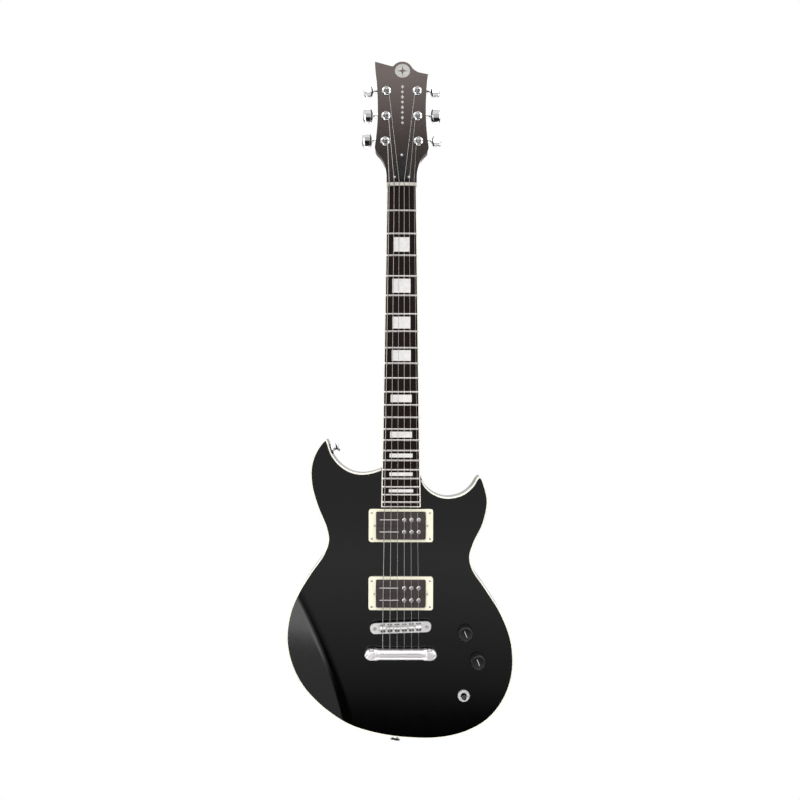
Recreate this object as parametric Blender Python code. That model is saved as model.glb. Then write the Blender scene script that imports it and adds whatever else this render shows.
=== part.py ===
"""An electric guitar built from separate pieces: set neck, carved forearm bevel, two humbuckers,
a bridge with sliding saddles, a stop tailpiece and six worm-geared tuners.

World axes are metres, with +Z up the neck and the front facing -Y. The origin is where a wall hanger
holds the neck, under the headstock's shoulders. Every size below is in millimetres, and every angle
in degrees. The pieces are drawn on three boards, each an empty: the body board, the neck board and
the headstock board. On each board x runs to the right, y up the neck and z out of the front.
"""

import math

import bmesh
import bpy
from mathutils import Matrix, Vector

MM = 0.001
GAP = 0.3  # between pieces that touch

# The hanger's point, seen from the body board's zero: the nut's lower edge, on the body's front.
HANGER_UP = 30.0
HANGER_BACK = 28.5

# Body
BODY_THICK = 45.0
BACK_ROUND = 5.0
# From the neck's bass side round the cutaway, the bass horn, the tail and back up to the treble side.
RIM_KNOTS = [
    (-28.5, -405.5), (-41, -410), (-57, -412), (-72, -409), (-87, -399.5), (-98.5, -385),
    (-104.5, -368.5), (-107, -363.6), (-111, -366), (-122, -382), (-128.5, -403), (-127.5, -430),
    (-118.5, -461), (-107, -489), (-104, -508), (-111, -528), (-129, -554), (-146, -582),
    (-158.5, -613), (-163.5, -650), (-158, -683), (-142, -716), (-113, -746), (-72, -771),
    (-30, -783.5), (14, -789), (57, -788.5), (93, -780), (124, -762.5), (147, -734),
    (159.5, -697), (158.5, -653), (143.5, -611), (121, -575), (102.5, -547), (99, -530),
    (104.4, -511), (117.6, -483), (123.8, -452), (119.5, -429.5), (114.6, -417.6), (112, -415.8),
    (109, -418.5), (102, -429.5), (90, -440), (76, -445), (61, -445.6), (46, -440),
    (35, -430.5), (30, -421.5),
]
HEEL_KNOTS = [(26, -411), (18, -402.5), (4, -398), (-12, -398.5), (-22, -401.5)]
OUTLINE_STEP = 11.0
HORN_TIPS = [(-107, -363.6), (112, -415.8)]
BINDING_WIDE = 1.6
BINDING_DEEP = 7.0
# The forearm bevel falls away inside a wide circle, through a soft round, then at a steady slope.
BEVEL_CENTRE = (-812.0, -948.0)
BEVEL_RADIUS = 768.0
BEVEL_SLOPE = 12.0
BEVEL_ROUND = 90.0

# Neck
SCALE = 628.65  # 24.75 inches
FRETS = 22
NECK_TILT = 2.2
BOARD_END = 459.5
BOARD_RISE = 7.0  # of the board's top over the body, at the board's end
BOARD_THICK = 6.0
BOARD_RADIUS = 305.0
HALF_AT_NUT = 21.5
HALF_AT_END = 28.0
SIDE_BINDING = 1.5
NUT_THICK = 5.0
NECK_ENDS_AT = 459.5
POCKET_FLOOR = -31.3
# Distance from the nut, depth below the fretboard, and squareness of the section.
NECK_STATIONS = [
    (0, 15.0, 2.3), (60, 15.3, 2.3), (180, 16.2, 2.3), (315, 17.5, 2.3), (360, 18.0, 2.4),
    (380, 19.6, 2.6), (391, 23.2, 3.0), (398, 27.2, 3.6), (404, 29.6, 4.5), (412, 30.0, 6.0),
    (NECK_ENDS_AT, 31.4, 8.0),
]
TRUSS_DEPTH = 12.3
TRUSS_RADIUS = 2.5
TRUSS_END = 400.0

# Headstock
HEAD_TILT = 11.0
HEAD_DROP = 4.5  # of its face below the fretboard, at the nut
HEAD_THICK = 15.0
OVERLAY_THICK = 1.5
# Half width against distance from the nut.
HEAD_SIDE = [
    (21.7, 0), (22.0, 13), (23.9, 25.4), (27.0, 35), (32.2, 44.2), (36.9, 49.6), (38.9, 54.5),
    (38.7, 61), (37.2, 74), (35.9, 90), (35.2, 112), (35.7, 138), (37.1, 160), (39.0, 178),
    (40.4, 202),
]
HEAD_LEFT_CORNER = (-39.8, 194.6)
HEAD_DIP = (-15.5, 187.3)
HEAD_BUMP_CENTRE = (0.6, 179.5)
HEAD_BUMP_RADIUS = 15.3
HEAD_RIGHT_SLOPE = [(17.0, 182.6), (23.5, 178.0), (31.0, 175.9)]
HEAD_RIGHT_CORNER = (39.2, 174.0)
COVER_SIDE = [(13.5, 4.6), (13.0, 9), (10.0, 17), (7.6, 27), (6.2, 37), (5.0, 44), (2.6, 47.2)]

# Tuners: across and up the headstock, for the three posts of each side, lowest first
POST_PLACES = [(24.2, 66.3), (23.15, 106.5), (22.65, 147.0)]
POST_TOP = 9.4
WAIST_RADIUS = 2.5
WORM_OFFSET = 10.4
WORM_DEPTH = HEAD_THICK + 4.6
GEAR_TEETH = 14
GEAR_PITCH_RADIUS = 7.6
WORM_ROOT, WORM_CREST = 1.8, 3.5
WORM_TURNS = 2.4
HOUSING_BACK = 25.1
BUTTON_FROM, BUTTON_TO = 19.2, 34.4
BUTTON_HALF_TALL, BUTTON_HALF_THICK = 11.8, 4.3
BUTTON_TURNS = [28, 25, -8, -12, 24, -14]  # how far each button is turned on its shaft, at rest

# Strings, bass to treble
STRING_RADII = [0.584, 0.457, 0.330, 0.216, 0.165, 0.127]
NUT_PITCH = 7.15
BRIDGE_PITCH = 10.14
STRING_OVER_BOARD = 1.6  # at the nut
SADDLE_TOP = 17.6
WRAP_TURNS = 1.5

# Bridge and tailpiece
BRIDGE_Y = -628.8
BRIDGE_SLANT = 2.3
BRIDGE_HALF, BRIDGE_DEEP = 42.9, 14.7
BRIDGE_LOW, BRIDGE_HIGH = 7.8, 13.4
BRIDGE_POST_X = 36.7
TROUGH_HALF, TROUGH_DEEP, TROUGH_FLOOR = 31.0, 11.6, 9.4
SADDLE_WIDE, SADDLE_DEEP = 8.4, 5.2
TAIL_Y = -667.4
TAIL_HALF, TAIL_DEEP = 50.8, 15.0
TAIL_LOW, TAIL_HIGH = 5.2, 16.5
TAIL_STUD_X = 41.0
TAIL_HOLE_Z = 11.0

# Pickups: name, y, ring's height and pickup's top
PICKUPS = [("neck", -485.5, 4.8, 8.0), ("bridge", -581.5, 8.5, 12.4)]
RING_SIZE = (91.5, 46.8)
RING_HOLE = (70.1, 39.4)
PICKUP_SIZE = (68.5, 37.8)
PICKUP_TALL = 21.0

# Controls
KNOB_PLACES = [("volume", 92.0, -638.0), ("tone", 109.8, -677.7)]
SWITCH_PLACE = (89.9, -727.6)
LEVER_PIVOT_Z = -6.0
TOP_LEFT_OVER_CAVITY = 5.5
CAVITY = [(74, -616), (116, -616), (137, -658), (137, -706), (112, -750), (74, -750)]
JACK_Y, JACK_Z = -684.0, -23.0
JACK_SIDE_X = 160.7
JACK_FACE_X = JACK_SIDE_X - 1.1
JACK_PLATE_THICK = 1.5

# Strap buttons: x, y and the way they point, in degrees from +x
UPPER_BUTTON = (-101.0, -378.2, 21.0)
LOWER_BUTTON = (-6.0, -787.1, -98.0)


# ---- small geometry helpers ----


def smooth_points(knots, step, closed=False):
    """Points about a step apart on a centripetal Catmull-Rom curve, and where each knot's run starts."""
    knots = [Vector(knot) for knot in knots]
    count = len(knots)
    points, starts = [], []
    for index in range(count if closed else count - 1):
        here, there = knots[index], knots[(index + 1) % count]
        before = knots[index - 1] if closed or index else 2 * here - there
        after = knots[(index + 2) % count] if closed or index + 2 < count else 2 * there - here
        a, b, c = (math.sqrt((q - p).length) for p, q in ((before, here), (here, there), (there, after)))
        leave = b * ((here - before) / a - (there - before) / (a + b) + (there - here) / b)
        arrive = b * ((there - here) / b - (after - here) / (b + c) + (after - there) / c)
        starts.append(len(points))
        parts = max(1, round((there - here).length / step))
        for part in range(parts):
            t = part / parts
            points.append(
                (2 * t**3 - 3 * t**2 + 1) * here
                + (t**3 - 2 * t**2 + t) * leave
                + (3 * t**2 - 2 * t**3) * there
                + (t**3 - t**2) * arrive
            )
    if not closed:
        starts.append(len(points))
        points.append(knots[-1])
    return points, starts


def inward(points, closed=True):
    """Unit vectors into the shape at each point of an anticlockwise outline, lengthened at corners."""
    normals = []
    last = len(points) - 1
    for index, point in enumerate(points):
        before = points[index - 1] if closed or index else 2 * point - points[1]
        after = points[(index + 1) % len(points)] if closed or index < last else 2 * point - points[-2]
        first = (point - before).normalized()
        second = (after - point).normalized()
        middle = (first + second).normalized()
        stretch = 1 / max(0.5, middle.dot(first))
        normals.append(Vector((-middle.y, middle.x)) * stretch)
    return normals


def inset(points, distance):
    return [point + distance * normal for point, normal in zip(points, inward(points))]


def arc(centre, radius, start, end, steps):
    """Points on a circle, from one angle to another."""
    angles = [math.radians(start + (end - start) * i / steps) for i in range(steps + 1)]
    return [Vector((centre[0] + radius * math.cos(a), centre[1] + radius * math.sin(a))) for a in angles]


def rounded(corners, radius, steps=3):
    """An anticlockwise outline with each of its corners rounded off."""
    points = []
    corners = [Vector(corner) for corner in corners]
    for index, corner in enumerate(corners):
        back = (corners[index - 1] - corner).normalized()
        ahead = (corners[(index + 1) % len(corners)] - corner).normalized()
        half = back.angle(ahead) / 2
        centre = corner + (back + ahead).normalized() * (radius / math.sin(half))
        first = corner + back * (radius / math.tan(half)) - centre
        turn = math.pi - 2 * half
        for step in range(steps + 1):
            points.append(centre + Matrix.Rotation(turn * step / steps, 2) @ first)
    return points


def rectangle(wide, tall, radius=0.0, centre=(0, 0), steps=3):
    x, y = wide / 2, tall / 2
    corners = [(-x, -y), (x, -y), (x, y), (-x, y)]
    corners = [(px + centre[0], py + centre[1]) for px, py in corners]
    return rounded(corners, radius, steps) if radius else [Vector(corner) for corner in corners]


def half_width(down):
    """The fretboard's half width with its binding, at a distance below the nut."""
    return HALF_AT_NUT + (HALF_AT_END - HALF_AT_NUT) * down / BOARD_END


def crown(x):
    """How far the fretboard's round top has dropped at x."""
    return x * x / (2 * BOARD_RADIUS)


def bevel_drop(point):
    """How far the forearm bevel lies below the body's front at a point."""
    inside = BEVEL_RADIUS - (Vector(point) - Vector(BEVEL_CENTRE)).length
    return drop_at(inside)


def drop_at(inside):
    slope = math.radians(BEVEL_SLOPE)
    round_end = BEVEL_ROUND * math.sin(slope)
    if inside <= 0:
        return 0.0
    curved = min(inside, round_end)
    drop = BEVEL_ROUND - math.sqrt(BEVEL_ROUND**2 - curved**2)
    return drop + (inside - curved) * math.tan(slope)


def body_board_matrix():
    place = Matrix.Translation((0, -HANGER_BACK, -HANGER_UP))
    return place @ Matrix.Rotation(math.radians(90), 4, "X")


def neck_on_body():
    drop = BOARD_RISE - BOARD_END * math.tan(math.radians(NECK_TILT))
    return Matrix.Translation((0, 0, drop)) @ Matrix.Rotation(math.radians(-NECK_TILT), 4, "X")


def head_on_neck():
    place = Matrix.Translation((0, NUT_THICK, -HEAD_DROP))
    return place @ Matrix.Rotation(math.radians(-HEAD_TILT), 4, "X")


# ---- shapes, each a bmesh in metres ----


def prism(outline, low, high):
    """A flat outline extruded from z = low to z = high."""
    shape = bmesh.new()
    face = shape.faces.new([shape.verts.new((MM * p[0], MM * p[1], MM * low)) for p in outline])
    grown = bmesh.ops.extrude_face_region(shape, geom=[face])
    top = [item for item in grown["geom"] if isinstance(item, bmesh.types.BMVert)]
    bmesh.ops.translate(shape, vec=(0, 0, MM * (high - low)), verts=top)
    bmesh.ops.recalc_face_normals(shape, faces=shape.faces)
    return shape


def block(low, high):
    corners = [(low[0], low[1]), (high[0], low[1]), (high[0], high[1]), (low[0], high[1])]
    return prism(corners, low[2], high[2])


def turned(profile, sides=20, hollow=False):
    """A profile of (radius, z) points turned about the z axis; a hollow one is closed on itself."""
    shape = bmesh.new()
    verts = [shape.verts.new((MM * radius, 0, MM * z)) for radius, z in profile]
    edges = [shape.edges.new(pair) for pair in zip(verts, verts[1:])]
    if hollow:
        edges.append(shape.edges.new((verts[-1], verts[0])))
    bmesh.ops.spin(
        shape, geom=verts + edges, cent=(0, 0, 0), axis=(0, 0, 1), angle=math.tau, steps=sides
    )
    bmesh.ops.remove_doubles(shape, verts=shape.verts, dist=1e-6)
    bmesh.ops.recalc_face_normals(shape, faces=shape.faces)
    return shape


def drilled(radius, low, high, sides=16):
    """A plain round pin, for cutting holes."""
    return turned([(0, low), (radius, low), (radius, high), (0, high)], sides)


def lofted(rings):
    """Rings of (x, y, z) points joined in order, both ends capped."""
    shape = bmesh.new()
    rows = [[shape.verts.new([MM * value for value in point]) for point in ring] for ring in rings]
    for first, second in zip(rows, rows[1:]):
        for index in range(len(first)):
            following = (index + 1) % len(first)
            shape.faces.new((first[index], first[following], second[following], second[index]))
    shape.faces.new(rows[0])
    shape.faces.new(rows[-1])
    bmesh.ops.recalc_face_normals(shape, faces=shape.faces)
    return shape


def moved(shape, place=(0, 0, 0), turn=(0, 0, 0)):
    """The shape turned about x, then y, then z, and set down at a place."""
    matrix = Matrix.Translation([MM * value for value in place])
    for axis, angle in zip("ZYX", reversed(turn)):
        matrix = matrix @ Matrix.Rotation(math.radians(angle), 4, axis)
    bmesh.ops.transform(shape, matrix=matrix, verts=shape.verts)
    return shape


def carved(blank, cuts=(), joins=()):
    """The blank's mesh with some shapes joined on and others cut away, by exact Booleans."""
    helpers = []
    for shape in [blank, *joins, *cuts]:
        mesh = bpy.data.meshes.new("helper")
        shape.to_mesh(mesh)
        shape.free()
        helper = bpy.data.objects.new("helper", mesh)
        bpy.context.scene.collection.objects.link(helper)
        helpers.append(helper)
    for index, helper in enumerate(helpers[1:]):
        modifier = helpers[0].modifiers.new("boolean", "BOOLEAN")
        modifier.operation = "UNION" if index < len(joins) else "DIFFERENCE"
        modifier.solver = "EXACT"
        modifier.object = helper
    graph = bpy.context.evaluated_depsgraph_get()
    result = bpy.data.meshes.new_from_object(helpers[0].evaluated_get(graph))
    for helper in helpers:
        bpy.data.meshes.remove(helper.data)
    return result


def mesh_of(shape):
    mesh = bpy.data.meshes.new("piece")
    shape.to_mesh(mesh)
    shape.free()
    return mesh


# ---- scene objects ----


def clear_scene():
    for obj in list(bpy.data.objects):
        bpy.data.objects.remove(obj)


def board(name, matrix, parent=None):
    """An empty that pieces are drawn on; its matrix is in millimetres."""
    empty = bpy.data.objects.new(name, None)
    bpy.context.scene.collection.objects.link(empty)
    empty.parent = parent
    empty.location = matrix.translation * MM
    empty.rotation_euler = matrix.to_euler()
    return empty


def finish(name, colour, roughness, metallic=0.0):
    material = bpy.data.materials.new(name)
    material.use_nodes = True
    shader = material.node_tree.nodes["Principled BSDF"]
    shader.inputs["Base Color"].default_value = (*colour, 1)
    shader.inputs["Roughness"].default_value = roughness
    shader.inputs["Metallic"].default_value = metallic
    material.diffuse_color = (*colour, 1)
    return material


def piece(name, mesh, parent, look, place=(0, 0, 0), turn=(0, 0, 0)):
    """Puts a mesh in the scene as one named piece."""
    obj = bpy.data.objects.new(name, mesh)
    bpy.context.scene.collection.objects.link(obj)
    obj.parent = parent
    obj.location = [MM * value for value in place]
    obj.rotation_euler = [math.radians(angle) for angle in turn]
    mesh.name = name
    mesh.shade_smooth()
    mesh.set_sharp_from_angle(angle=math.radians(32))
    mesh.materials.clear()
    mesh.materials.append(finish(name, *look))
    return obj


BLACK_GLOSS = ((0.012, 0.012, 0.013), 0.08)
CREAM = ((0.82, 0.78, 0.66), 0.35)
CHROME = ((0.78, 0.78, 0.79), 0.12, 1.0)
STEEL = ((0.55, 0.55, 0.56), 0.3, 1.0)
BLACK_PLASTIC = ((0.02, 0.02, 0.02), 0.35)
DARK_WOOD = ((0.045, 0.028, 0.022), 0.45)
BONE = ((0.8, 0.78, 0.72), 0.4)
HEAD_FACE = ((0.09, 0.08, 0.075), 0.2)


# ---- body ----


def body_outline():
    """The whole outline, and how many of its points belong to the rim outside the neck joint."""
    points, starts = smooth_points(RIM_KNOTS + HEEL_KNOTS, OUTLINE_STEP, closed=True)
    return points, starts[len(RIM_KNOTS) - 1] + 1


def body_blank(outline):
    """The outline at full thickness, its back edge rounded over less near the horns' tips."""
    normals = inward(outline)
    tips = [Vector(tip) for tip in HORN_TIPS]
    rounds = []
    for point in outline:
        nearest = min((point - tip).length for tip in tips)
        rounds.append(BACK_ROUND * min(1, max(0.3, nearest / 40)))
    rings = [[(p.x, p.y, 0) for p in outline]]
    for angle in (0, 45, 90):
        side, rise = 1 - math.cos(math.radians(angle)), 1 - math.sin(math.radians(angle))
        rings.append(
            [(*(p + n * r * side), -BODY_THICK + r * rise) for p, n, r in zip(outline, normals, rounds)]
        )
    return lofted(rings)


def bevel_cutter():
    """What the forearm bevel takes away: the bevel's section carried along its circle."""
    section = [(-1.5, 0.04)]
    section += [(inside, -drop_at(inside)) for inside in (1.5, 6, 12, 18.7, 88)]
    section += [(88, 6), (-1.5, 6)]
    rings = []
    for angle in range(8, 35, 2):
        out = Vector((math.cos(math.radians(angle)), math.sin(math.radians(angle))))
        rings.append([(*(Vector(BEVEL_CENTRE) + out * (BEVEL_RADIUS - w)), z) for w, z in section])
    return lofted(rings)


def rim_strip(rim, outside, inside, high, deep):
    """A strip along the rim, from outside it to inside it, whose top follows the bevel."""
    rings = []
    for point, normal in zip(rim, inward(rim, closed=False)):
        top = -bevel_drop(point)
        near, far = point - normal * outside, point + normal * inside
        rings.append([(*near, top + high), (*far, top + high), (*far, top - deep), (*near, top - deep)])
    return lofted(rings)


def pickup_cavity(y):
    under_case = prism(rectangle(72.5, 41.5, 3, (0, y)), -18.5, 5)
    under_feet = prism(rectangle(86, 16, 2, (0, y)), -20, 5)
    return [under_case, under_feet]


def body_bores():
    bores = []
    slant = math.radians(BRIDGE_SLANT)
    for side in (-1, 1):
        across, along = BRIDGE_POST_X * math.cos(slant), BRIDGE_POST_X * math.sin(slant)
        post = (side * across, BRIDGE_Y + side * along, 0)
        bores.append(moved(drilled(3.4, -24, 5, 12), post))
        bores.append(moved(drilled(5.2, -24, 5, 12), (side * TAIL_STUD_X, TAIL_Y, 0)))
    for _, x, y in KNOB_PLACES:
        bores.append(moved(drilled(5.1, -10, 5, 12), (x, y, 0)))
    bores.append(moved(drilled(6.5, -10, 5, 12), (*SWITCH_PLACE, 0)))
    for x, y, way in (UPPER_BUTTON, LOWER_BUTTON):
        bores.append(moved(drilled(2.1, -19, 5, 8), (x, y, -BODY_THICK / 2), (0, 90, way)))
    return bores


def jack_cuts():
    spot, way = (0, JACK_Y, JACK_Z), (0, 90, 0)
    seat = drilled(15.8, JACK_FACE_X - JACK_PLATE_THICK - GAP, JACK_SIDE_X + 5, 28)
    bore = drilled(11.0, 130, JACK_SIDE_X + 4, 16)
    return [moved(seat, spot, way), moved(bore, spot, way)]


def wiring_cuts():
    """Drillings that carry the leads from the pickups to the control cavity."""
    between = moved(drilled(4, 0, 80, 8), (20, -500, -13), (90, 0, 0))
    across = moved(drilled(4, 0, 60, 8), (36, -590, -15.5), (90, 0, 48))
    return [between, across]


def make_body(front):
    outline, rim_count = body_outline()
    rim = outline[:rim_count]
    cavity = rounded(CAVITY[::-1], 8)
    pocket_top = half_width(390) + GAP
    pocket_end = half_width(NECK_ENDS_AT) + GAP
    pocket = [
        (-pocket_end, -NECK_ENDS_AT - 2.2), (pocket_end, -NECK_ENDS_AT - 2.2),
        (pocket_top, -390), (-pocket_top, -390),
    ]
    longer = [rim[0] + (rim[0] - rim[1]).normalized() * 0.6, *rim]
    longer.append(rim[-1] + (rim[-1] - rim[-2]).normalized() * 0.6)
    cuts = [
        bevel_cutter(),
        rim_strip(longer, 3, BINDING_WIDE + GAP, 12, BINDING_DEEP + GAP),
        prism(pocket, POCKET_FLOOR, 9),
        prism(cavity, -BODY_THICK - 5, -TOP_LEFT_OVER_CAVITY),
        prism(inset(cavity, -6.0), -BODY_THICK - 5, -BODY_THICK + 2.2),
        *jack_cuts(),
        *wiring_cuts(),
        *body_bores(),
    ]
    for _, y, _, _ in PICKUPS:
        cuts += pickup_cavity(y)
    piece("body", carved(body_blank(outline), cuts), front, BLACK_GLOSS)
    binding = rim_strip(rim, 0, BINDING_WIDE, 0, BINDING_DEEP)
    piece("body_binding", mesh_of(binding), front, CREAM)
    cover = prism(inset(cavity, -6.0 + GAP), -BODY_THICK, -BODY_THICK + 1.7)
    piece("control_cover", mesh_of(cover), front, BLACK_PLASTIC)


# ---- neck and headstock ----


def head_side():
    return smooth_points(HEAD_SIDE, 8.0)[0]


def head_top_edge():
    """The headstock's top edge, from its left corner over the bump to its right corner."""
    bump = arc(HEAD_BUMP_CENTRE, HEAD_BUMP_RADIUS, 149, 38, 7)
    slope, _ = smooth_points([bump[-1], *HEAD_RIGHT_SLOPE, HEAD_RIGHT_CORNER], 4.0)
    return [Vector(HEAD_LEFT_CORNER), Vector(HEAD_DIP), *bump, *slope[1:]]


def head_outline():
    side = head_side()
    side[0].y = GAP
    right = [p for p in side if p.y < HEAD_RIGHT_CORNER[1] - 2]
    left = [Vector((-p.x, p.y)) for p in side if p.y < HEAD_LEFT_CORNER[1] - 2]
    return right + head_top_edge()[::-1] + left[::-1]


def half_section(half, depth, squareness, points=11):
    """A neck section: a flat top on z = 0 and a round or squarish underside."""
    ring = []
    for index in range(points):
        angle = math.pi * index / (points - 1)
        across, down = math.cos(angle), math.sin(angle)
        x = half * math.copysign(abs(across) ** (2 / squareness), across)
        ring.append((x, 0, -depth * abs(down) ** (2 / squareness)))
    return ring


def neck_rings():
    """Sections from the heel up to the nut, then up the headstock, on the neck board."""
    rings = []
    for down, depth, squareness in NECK_STATIONS[::-1]:
        section = half_section(half_width(down), depth, squareness)
        rings.append([(x, -down, z - BOARD_THICK - GAP) for x, _, z in section])
    wood_top = -OVERLAY_THICK - GAP
    for half, up in head_side():
        eased = min(1, up / 30)
        depth = HEAD_THICK + wood_top + 1.4 * (1 - eased)
        squareness = 2.6 + 10 * eased**1.5
        tilt = HEAD_TILT * (0.5 + 0.5 * min(1, up / 5))
        turn = Matrix.Rotation(math.radians(-tilt), 4, "X")
        start = head_on_neck() @ Vector((0, up, wood_top))
        section = half_section(half, depth, squareness)
        rings.append([start + turn @ Vector(point) for point in section])
    return rings


def head_end_cutter():
    edge = head_top_edge()
    far = [(60, HEAD_RIGHT_CORNER[1] - 0.3), (60, 230), (-60, 230), (-60, HEAD_LEFT_CORNER[1] + 0.5)]
    return prism(edge + [Vector(p) for p in far], -40, 10)


def truss_recess():
    return prism(rectangle(11, 30, 3, (0, 15.5)), -11, 3)


def on_neck_board(shape):
    matrix = head_on_neck()
    matrix.translation *= MM
    bmesh.ops.transform(shape, matrix=matrix, verts=shape.verts)
    return shape


def post_spots():
    """Side, x and y of each post, in the strings' order from bass to treble."""
    bass = [(-1, -x, y) for x, y in POST_PLACES]
    treble = [(1, x, y) for x, y in POST_PLACES[::-1]]
    return bass + treble


def make_neck(neck_board, head_board):
    cuts = [on_neck_board(head_end_cutter()), on_neck_board(truss_recess())]
    cuts.append(block((-3.3, -TRUSS_END - 2, -17.3), (3.3, 8, 0)))
    cuts += [on_neck_board(moved(drilled(5.0, -20, 5, 12), (x, y, 0))) for _, x, y in post_spots()]
    piece("neck", carved(lofted(neck_rings()), cuts), neck_board, BLACK_GLOSS)
    holes = [moved(drilled(5.0, -20, 5, 12), (x, y, 0)) for _, x, y in post_spots()]
    overlay = carved(prism(head_outline(), -OVERLAY_THICK, 0), [truss_recess(), *holes])
    piece("headstock_overlay", overlay, head_board, HEAD_FACE)


def make_truss_rod(neck_board, head_board):
    rod = [(0, -TRUSS_END), (TRUSS_RADIUS, -TRUSS_END), (TRUSS_RADIUS, 11), (0, 11)]
    nut = moved(turned([(0, 10), (4.0, 10), (4.0, 21), (0, 21)], 6), turn=(0, 0, 30))
    mesh = carved(turned(rod, 10), joins=[nut])
    piece("truss_rod", mesh, neck_board, STEEL, (0, 0, -TRUSS_DEPTH), (-90, 0, 0))
    side = smooth_points(COVER_SIDE, 4.0)[0]
    outline = side + [Vector((-p.x, p.y)) for p in side[::-1]]
    piece("truss_rod_cover", mesh_of(prism(outline, GAP, 2.5)), head_board, BLACK_PLASTIC)


def board_section(half, y):
    tops = [half - half * index / 4 for index in range(9)]
    return [(-half, y, -BOARD_THICK), (half, y, -BOARD_THICK)] + [(x, y, -crown(x)) for x in tops]


def fret_wire(down):
    half = half_width(down) - SIDE_BINDING - GAP - 0.2
    profile = [(-1.2, -0.4), (1.2, -0.4), (0.95, 0.65), (0, 1.1), (-0.95, 0.65)]
    rings = []
    for index in range(5):
        x = half * (index / 2 - 1)
        rings.append([(x, y - down, z - crown(x)) for y, z in profile])
    return lofted(rings)


def make_fretboard(neck_board):
    inner = SIDE_BINDING + GAP
    rings = [board_section(half_width(0) - inner, 0)]
    end = BOARD_END - inner
    rings.append(board_section(half_width(end) - inner, -end))
    frets = [fret_wire(SCALE * (1 - 2 ** (-number / 12))) for number in range(1, FRETS + 1)]
    piece("fretboard", carved(lofted(rings), joins=frets), neck_board, DARK_WOOD)
    corners = [
        (Vector((-half_width(0), 0)), Vector((1, 0))),
        (Vector((-half_width(BOARD_END), -BOARD_END)), Vector((1, 1))),
        (Vector((half_width(BOARD_END), -BOARD_END)), Vector((-1, 1))),
        (Vector((half_width(0), 0)), Vector((-1, 0))),
    ]
    strip = []
    for outer, way in corners:
        within = outer + way * SIDE_BINDING
        top = -crown(outer.x)
        strip.append([(*outer, -BOARD_THICK), (*outer, top), (*within, top), (*within, -BOARD_THICK)])
    piece("fretboard_binding", mesh_of(lofted(strip)), neck_board, CREAM)


def nut_x(index):
    return (index - 2.5) * NUT_PITCH


def make_nut(neck_board):
    """The nut's front view, with its string slots, extruded through its thickness."""
    outline = [Vector((-HALF_AT_NUT, -BOARD_THICK)), Vector((-HALF_AT_NUT, 1.5))]
    for index, radius in enumerate(STRING_RADII):
        x = nut_x(index)
        top = 3.2 - crown(x)
        floor = STRING_OVER_BOARD - crown(x) - GAP
        wide = radius + GAP
        outline += [Vector((x - wide, top)), Vector((x - wide, floor))]
        outline += [Vector((x + wide, floor)), Vector((x + wide, top))]
    outline += [Vector((HALF_AT_NUT, 1.5)), Vector((HALF_AT_NUT, -BOARD_THICK))]
    shape = moved(prism(outline, GAP - NUT_THICK, -GAP), turn=(90, 0, 0))
    piece("nut", mesh_of(shape), neck_board, BONE)


# ---- tuners ----


def gear_outline():
    pitch = 2 * math.pi * GEAR_PITCH_RADIUS / GEAR_TEETH
    root, tip = GEAR_PITCH_RADIUS - 1.0, GEAR_PITCH_RADIUS + 0.7
    points = []
    for tooth in range(GEAR_TEETH):
        middle = 90 + (tooth + 0.5) * 360 / GEAR_TEETH
        for radius, aside in ((root, -0.26), (tip, -0.12), (tip, 0.12), (root, 0.26)):
            angle = math.radians(middle) + aside * pitch / radius
            points.append(Vector((radius * math.cos(angle), radius * math.sin(angle))))
    return points


def post_mesh():
    profile = [
        (0, -23.4), (2.0, -23.4), (2.0, -21.4), (3.1, -21.4), (3.1, 2.6), (WAIST_RADIUS, 3.1),
        (WAIST_RADIUS, 6.9), (3.1, 7.4), (3.1, 8.8), (2.6, POST_TOP), (0, POST_TOP),
    ]
    gear = prism(gear_outline(), -WORM_DEPTH - 1.5, -WORM_DEPTH + 1.5)
    hole = moved(drilled(0.9, -5, 5, 8), (0, 0, 4.9), (90, 0, 0))
    return carved(turned(profile, 12), [hole], [gear])


def key_mesh(button_turn):
    """Worm, shaft and button in one: rings along z, which points away from the headstock."""
    sides = 10
    lead = 2 * math.pi * GEAR_PITCH_RADIUS / GEAR_TEETH

    def ring(z, radii):
        angles = [math.tau * index / sides for index in range(sides)]
        return [(r * math.cos(a), r * math.sin(a), z) for r, a in zip(radii, angles)]

    def worm_radii(z):
        radii = []
        for index in range(sides):
            turn = index / sides - 0.75
            aside = abs((z / lead - turn + 0.5) % 1 - 0.5) * lead
            part = min(1, max(0, (0.55 - aside) / 0.3))
            radii.append(WORM_ROOT + (WORM_CREST - WORM_ROOT) * part)
        return radii

    worm_end = lead * WORM_TURNS / 2
    rings = [ring(-worm_end - 2.6, [1.6] * sides), ring(-worm_end - 0.2, [1.6] * sides)]
    rows = 15
    for row in range(rows + 1):
        z = worm_end * (2 * row / rows - 1)
        rings.append(ring(z, worm_radii(z)))
    rings += [ring(worm_end + 0.2, [2.2] * sides), ring(BUTTON_FROM - 1.4, [2.2] * sides)]
    rings.append(ring(BUTTON_FROM - 1.4, [3.4] * sides))
    # height along the shaft as a share, then how full the oval is there
    for share, full in ((0.0, 0.34), (0.16, 0.78), (0.45, 1.0), (0.75, 0.93), (0.94, 0.62), (1.0, 0.4)):
        z = BUTTON_FROM + (BUTTON_TO - BUTTON_FROM) * share
        oval = []
        for index in range(sides):
            angle = math.tau * index / sides
            x = full * BUTTON_HALF_THICK * math.copysign(abs(math.cos(angle)) ** 0.7, math.cos(angle))
            y = full * BUTTON_HALF_TALL * math.copysign(abs(math.sin(angle)) ** 0.85, math.sin(angle))
            point = Matrix.Rotation(math.radians(button_turn), 2) @ Vector((x, y))
            oval.append((*point, z))
        rings.append(oval)
    return mesh_of(lofted(rings))


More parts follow.
